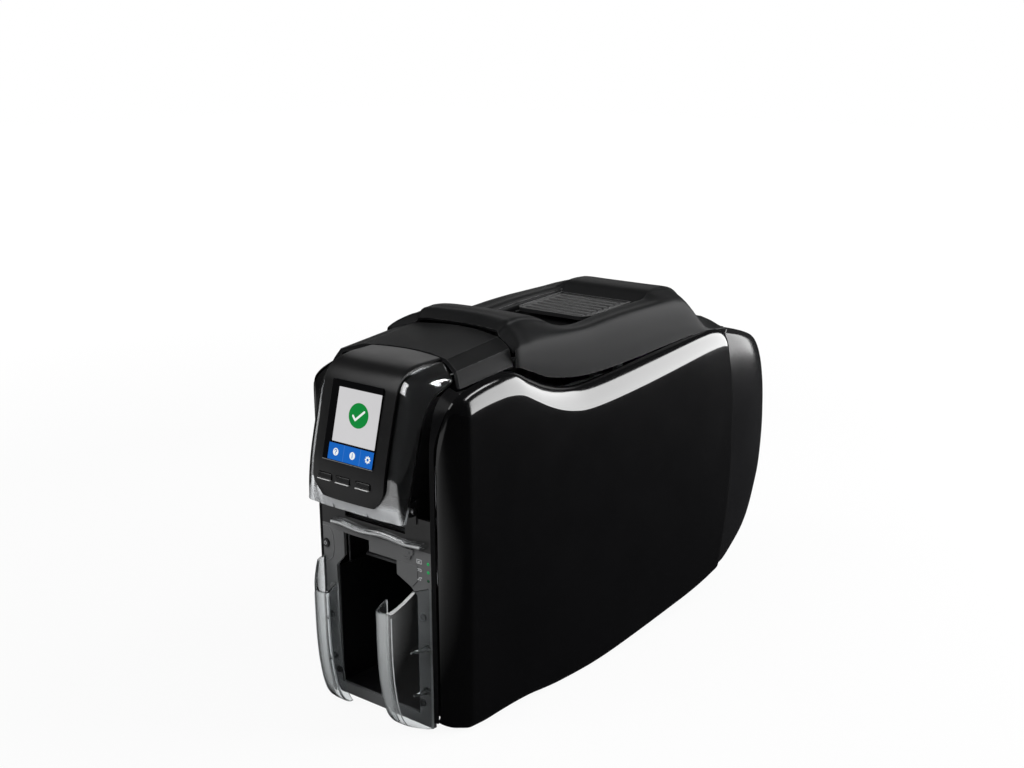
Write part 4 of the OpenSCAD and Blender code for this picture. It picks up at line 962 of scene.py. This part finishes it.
# a dark liner inside the clear sides, above the lip, so that only the rim of the shell is clear
liner_black = finish("liner_black", (0.006, 0.006, 0.0065), 0.4, grain=(2400, 0.5), dust=0.02)
liner_grids = [smooth_grid([shell_ring(i, off) for i in door_rings[:-2]], 4, 5) for off in (2.3, 3.3)]
for name, first in (("door_liner_left", 0), ("door_liner_right", 25)):
    skin(name, *[[row[first:first + 11] for row in grid] for grid in liner_grids], liner_black,
         "screen_door", "inner_black")

# ---------------------------------------------------------------- screen door: front
# Satin black ABS with finer grain than the cover; it curves over the top to meet the cap, with a
# window for the glass and three openings for the keys. The name under the keys is left off.
face_black = finish("face_black", (0.0045, 0.0045, 0.0049), 0.34, grain=(3200, 0.6), rub_and_glint=0.25, dust=0.04,
                    hair=0.05, bump=0.00004, Specular_IOR_Level=0.3)
FACE_COLUMNS = (-1, -0.94, -0.8, -0.4, 0, 0.4, 0.8, 0.94, 1)
KEY_X, KEY_V = (-20, -3, 15.5), -38.2
GLASS_W, GLASS_H = 46.8, 53.4


def face_ring(i, off):
    y, z = face_at(i, off)
    half = FACE_HALF - (9 if i == 1 else 1 if i == 2 else 0)
    return [(u * half, y + 1.3 * abs(u)**3 - seam_bow(u * half, i),
             z - (0.8 if abs(u) > 0.97 and i > 8 else 0) - (0.6 * u * u if i > 10 else 0))
            for u in FACE_COLUMNS]


door_front = skin("door_front_cover",
                  *[smooth_grid([face_ring(i, off) for i in range(len(face_line) - 1, 0, -1)], 5, 5)
                    for off in (0, 1.6)], face_black, "screen_door", "satin_black", ("door_front",), sharp=30)
key_holes = [prism_mesh([(u + x, v + KEY_V) for u, v in rounded(13.8, 4.8, 1.2)], -12, 6, face_axes)
             for x in KEY_X]
cut(door_front, prism_mesh(rounded(GLASS_W, GLASS_H, 1.2), -9, 9, face_axes), *key_holes, sharp=30)

# ---------------------------------------------------------------- screen and keys
# A flat dark glass glued in the window, with the backlit display behind it: pale field, a green
# disc with a tick, and a blue bar of help, information and settings. Three bar keys stand below.
screen_glass = finish("screen_glass", (0.0025, 0.0025, 0.003), 0.06, grain=(200, 0.2), rub_and_glint=0.1, dust=0.04,
                      hair=0.03, bump=0.000004)
make_piece("screen_cover_glass", *prism_mesh(rounded(GLASS_W - 0.4, GLASS_H - 0.4, 1), -0.4, 0.8, face_axes),
           screen_glass, "screen_door", "dark_glass", ("screen_glass",))
LIT_LEFT, LIT_RIGHT, LIT_LOW, LIT_TOP = -18.4, 22.9, -26.2, 22.2
BAR_TOP = -15.1


def lit_sheet(name, outlines, material, level):
    """Lit shapes lying on the glass, in mm on the door front; a higher level lies further out."""
    return signs(name, outlines, face_axes, material, "screen_door", "screen_lit",
                 front=-0.44 - 0.03 * level, back=-0.38, step=0.002)


def oblong(left, right, low, top):
    return [(left, low), (right, low), (right, top), (left, top)]


pale = lit("screen_pale", (0.55, 0.545, 0.555), 1.0, dim=0.92)
blue = lit("screen_blue", (0.005, 0.11, 0.46), 1.0, dim=0.85)
green = lit("screen_green", (0.003, 0.21, 0.035), 1.0, dim=0.85)
white = lit("screen_white", (0.74, 0.77, 0.76), 1.0, dim=0.95)
lit_sheet("screen_field", [oblong(LIT_LEFT + 2, LIT_RIGHT, BAR_TOP + 1.3, LIT_TOP)], pale, 0)
lit_sheet("screen_bar", [oblong(LIT_LEFT, LIT_RIGHT, LIT_LOW, BAR_TOP)], blue, 0)
cells, middles = (-4.2, 11), (-11.5, 4, 18.2)      # dividers and signs of the blue bar
lit_sheet("screen_dividers", [oblong(x - 0.12, x + 0.12, LIT_LOW, BAR_TOP) for x in cells],
          lit("screen_divider", (0.07, 0.2, 0.55), 1.0), 1)
lit_sheet("ready_disc", [[(4.5 + 1.08 * u, 5.9 + v) for u, v in disc(8.3, 56)]], green, 1)
lit_sheet("ready_tick", ribbon([(-0.5, 5.2), (2.0, 2.7), (9.2, 9.0)], 1.5), white, 2)
mid_bar = (LIT_LOW + BAR_TOP) / 2
lit_sheet("bar_discs", [disc(2.5, 36, middle, mid_bar) for middle in middles[:2]], white, 1)
query = [(-0.95, 0.75), (-0.7, 1.35), (0, 1.6), (0.75, 1.3), (0.9, 0.65), (0.45, 0.15), (0.05, -0.2),
         (0, -0.7)]
help_sign = moved(ribbon(query, 0.5) + [disc(0.34, 14, 0, -1.5)], middles[0], mid_bar)
info_sign = moved(ribbon([(0, 0.45), (0, -1.35)], 0.62) + [disc(0.4, 14, 0, 1.35)], middles[1], mid_bar)
lit_sheet("help_and_information", help_sign + info_sign, blue, 2)
TOOTH = ((-9, 1), (9, 1), (13, 0.76), (32, 0.76))   # degrees and reach of a cog tooth's corners
cog = [(2.55 * math.cos(math.radians(45 * t + a)) * reach, 2.55 * math.sin(math.radians(45 * t + a)) * reach)
       for t in range(8) for a, reach in TOOTH]
lit_sheet("settings_cog", moved([cog], middles[2], mid_bar), white, 1)
lit_sheet("settings_cog_hole", [disc(0.95, 24, middles[2], mid_bar)], blue, 2)
display_can = finish("display_can", (0.3, 0.31, 0.32), 0.35, grain=(1500, 0.2), rub_and_glint=0.3)
dress(display_can, "screen_panel", edge=0.2)

# a pale line along the lower edge of the glass: painted highlight
glass_line = [(side * (GLASS_W / 2 - 0.4), -GLASS_H / 2 - 0.15) for side in (-1, 1)]
glass_highlight_grey = finish("glass_edge_highlight", (0.2, 0.2, 0.205), 0.3, grain=(1800, 0.3), rub_and_glint=0, dust=0.02)
key_lip = finish("key_lip", (0.72, 0.72, 0.72), 0.25, grain=(1800, 0.3), rub_and_glint=0, dust=0.02)
signs("glass_edge_highlight", ribbon(glass_line, 0.45), face_axes, glass_highlight_grey, "screen_door", "plate_grey",
      front=-0.45, back=0.8)
# pale lines under the three key openings: painted highlights on their lower edges
key_highlight_lines = [bar for x in KEY_X for bar in ribbon([(x - 5.6, KEY_V - 2.5), (x + 5.9, KEY_V - 2.5)], 0.55)]
signs("key_lips", key_highlight_lines, face_axes, key_lip, "screen_door", "plate_grey", front=0.1, back=1.6)
# the keys' lightened edges are painted glints
key_black = finish("key_black", (0.01, 0.01, 0.0105), 0.25, grain=(2600, 0.3), rub_and_glint=0.5,
                   rub_and_glint_colour=(0.12, 0.12, 0.12))
for name, x in zip(("left", "middle", "right"), KEY_X):
    node = "menu_key_" + name
    cap = prism_mesh([(u + x, v + KEY_V) for u, v in rounded(13, 4, 1.0)], 0.6, 4.0, face_axes)
    stem = prism_mesh(oblong(x - 3, x + 3, KEY_V - 1, KEY_V + 1), 3.9, 6.2, face_axes)
    key = make_piece(node + "_cap", *stack_meshes([cap, stem]), key_black, node, "key_black", (node,))
    round_edges(key, 0.7, 4)

# ---------------------------------------------------------------- top cover
# One charcoal moulding hinged at the rear: an arched collar in front, a valley with the release pad
# between two rails, and a raised hump behind it. Two arms with bored ends carry it on the pins.
COVER_HALF = 61.5
COVER_COLUMNS = (61.5, 61.3, 60, 57, 49, 41, 37, 19, 0)
cover_stations = (100, 106, 112, 122, 132, 142, 152, 165, 185, 205, 225, 246, 252, 257, 262, 270,
                  282, 288, 295, 302, 309, 316, 328, 340)
cover_edge_line = ((100, 243), (112, 236.5), (125, 230), (155, 224.5), (206, 225.5), (260, 229),
                   (300, 231), (320, 229.4), (340, 229))
cover_crease_line = ((100, 258.5), (116, 259.5), (140, 258), (160, 257.5), (196, 260), (232, 261),
                     (268, 261.3), (282, 259.5), (291, 255), (301, 246.5), (308, 240), (315, 234.5),
                     (322, 232), (334, 230.6), (340, 230.4))
cover_rail_line = ((100, 266), (116, 268), (135, 263), (150, 258), (165, 257), (196, 259.5),
                   (232, 261.5), (252, 262.5), (262, 266), (288, 265.5), (298, 260), (309, 251.5),
                   (320, 243), (330, 237.4), (340, 235.5))
cover_mid_line = ((100, 269), (112, 270.5), (130, 267), (148, 257.5), (165, 251.5), (185, 249),
                  (246, 252.8), (252, 256), (262, 266.3), (288, 267), (302, 261), (316, 248),
                  (330, 238.5), (340, 236))


def cover_height(c, y):
    edge, crease = curve(y, cover_edge_line), curve(y, cover_crease_line)
    rail, middle_line = curve(y, cover_rail_line), curve(y, cover_mid_line)
    return (edge, mix(edge, crease, 0.35), mix(edge, crease, 0.8), crease, mix(crease, rail, 0.6), rail,
            middle_line, middle_line, middle_line)[c]


def cover_point(y, j, off):
    c = j if j < 9 else 16 - j
    a = COVER_COLUMNS[c]
    lean_y = -20 * (a / COVER_HALF)**2 * max(0, 1 - (y - 100) / 55)
    inset = off if c < 3 else off * 0.6 if c < 6 else 0
    sink = 0 if c < 2 else off * 0.4 if c == 2 else off
    return ((1 if j < 9 else -1) * (a - inset), y + lean_y + (-off if y > 335 else 0),
            cover_height(c, y) - sink)


def collar_point(j, off):
    x, y, z = cover_point(100, j, 0)
    a = abs(x)
    sign = (x > 0) - (x < 0)
    return (x * (0.985 if a > 56 else 0.94) - sign * off * 0.5, y - 8 + 5 * (a / 61)**2 + off * 0.6,
            z - (0 if a > 59 else 5.2) - off)


cover_grids = [smooth_grid([[collar_point(j, off * 0.6) for j in range(17)]]
                           + [[cover_point(y, j, off) for j in range(17)] for y in cover_stations], 5, 5)
               for off in (0, SKIN)]
top_cover = skin("top_cover_moulding", *cover_grids, charcoal, "top_cover", "cover_charcoal",
                 ("top_cover",), sharp=60)
cut(top_cover, prism_mesh(oblong(-9, 9, 214, 232), 240, 262, upright), sharp=60)
dress(inner_abs, "cover_hinge_arms", edge=0.2)
dress(zinc_plate, "cover_latch", edge=0.2)

# ---------------------------------------------------------------- release pad
# A sprung finger pad of charcoal ABS in the valley of the cover: rounded at its front corners, a
# thin raised rim and seven ribs across, with a foot below that frees the latch.
PAD_FRONT, PAD_BACK, PAD_LOW, PAD_HIGH = 190, 248, 257, 260.6
pad_slope = math.atan2(PAD_HIGH - PAD_LOW, PAD_BACK - PAD_FRONT)
pad_long = math.hypot(PAD_BACK - PAD_FRONT, PAD_HIGH - PAD_LOW)


def pad_axes(u, v, d):
    """u across, v back along the pad, d above its underside."""
    return (u, PAD_FRONT + v * math.cos(pad_slope) - d * math.sin(pad_slope),
            PAD_LOW - 3.2 + v * math.sin(pad_slope) + d * math.cos(pad_slope))


def pad_outline(inset, corner=8):
    half, long = 34 - inset, pad_long - inset
    front = [(half - corner + corner * math.sin(a), inset + corner - corner * math.cos(a))
             for a in (math.radians(9 * k) for k in range(11))]
    return [(-x, y) for x, y in reversed(front)] + front + [(half, long), (-half, long)]


pad_black = finish("pad_black", (0.011, 0.0112, 0.0118), 0.36, grain=(2600, 0.7), rub_and_glint=0.45,
                   rub_and_glint_colour=(0.1, 0.1, 0.1), dust=0.08)
outer, inner = pad_outline(0), pad_outline(1.6)
count = len(outer)
rim_points = [pad_axes(u, v, d) for loop, d in ((outer, 0), (outer, 2.9), (inner, 3.1), (inner, 2.2))
              for u, v in loop]
rim_faces = [tuple(range(count)), tuple(range(3 * count, 4 * count))]
pad_solids = [(rim_points, rim_faces + sleeve(3, count))]
RIBS, FIRST_RIB, RIB_PITCH, half_rib = 7, 6, 7.2, 29
for i in range(RIBS):
    start = FIRST_RIB + i * RIB_PITCH
    rib = [(start, 2.1), (start + 0.5, 2.9), (start + 1.6, 3.2), (start + 3.0, 2.9), (start + 4.0, 2.1)]
    ends = [(-half_rib, 0.3), (-half_rib + 1.5, 1), (half_rib - 1.5, 1), (half_rib, 0.3)]
    points = [pad_axes(u, v, 2.0 + (d - 2.0) * tall) for u, tall in ends for v, d in rib + [(start + 2, 1.8)]]
    pad_solids.append((points, sleeve(3, 6) + [tuple(range(6)), tuple(range(18, 24))]))
pad_solids.append(prism_mesh(oblong(-5, 5, 246, 256.4), 218, 228, front_axes))
pad_solids.append(prism_mesh(oblong(-3.5, 3.5, 240.1, 246), 218, 221, front_axes))
release_pad = make_piece("release_pad", *stack_meshes(pad_solids), pad_black, "release_button",
                         "satin_black", ("release_button",), sharp=40)
round_edges(release_pad, 0.35)
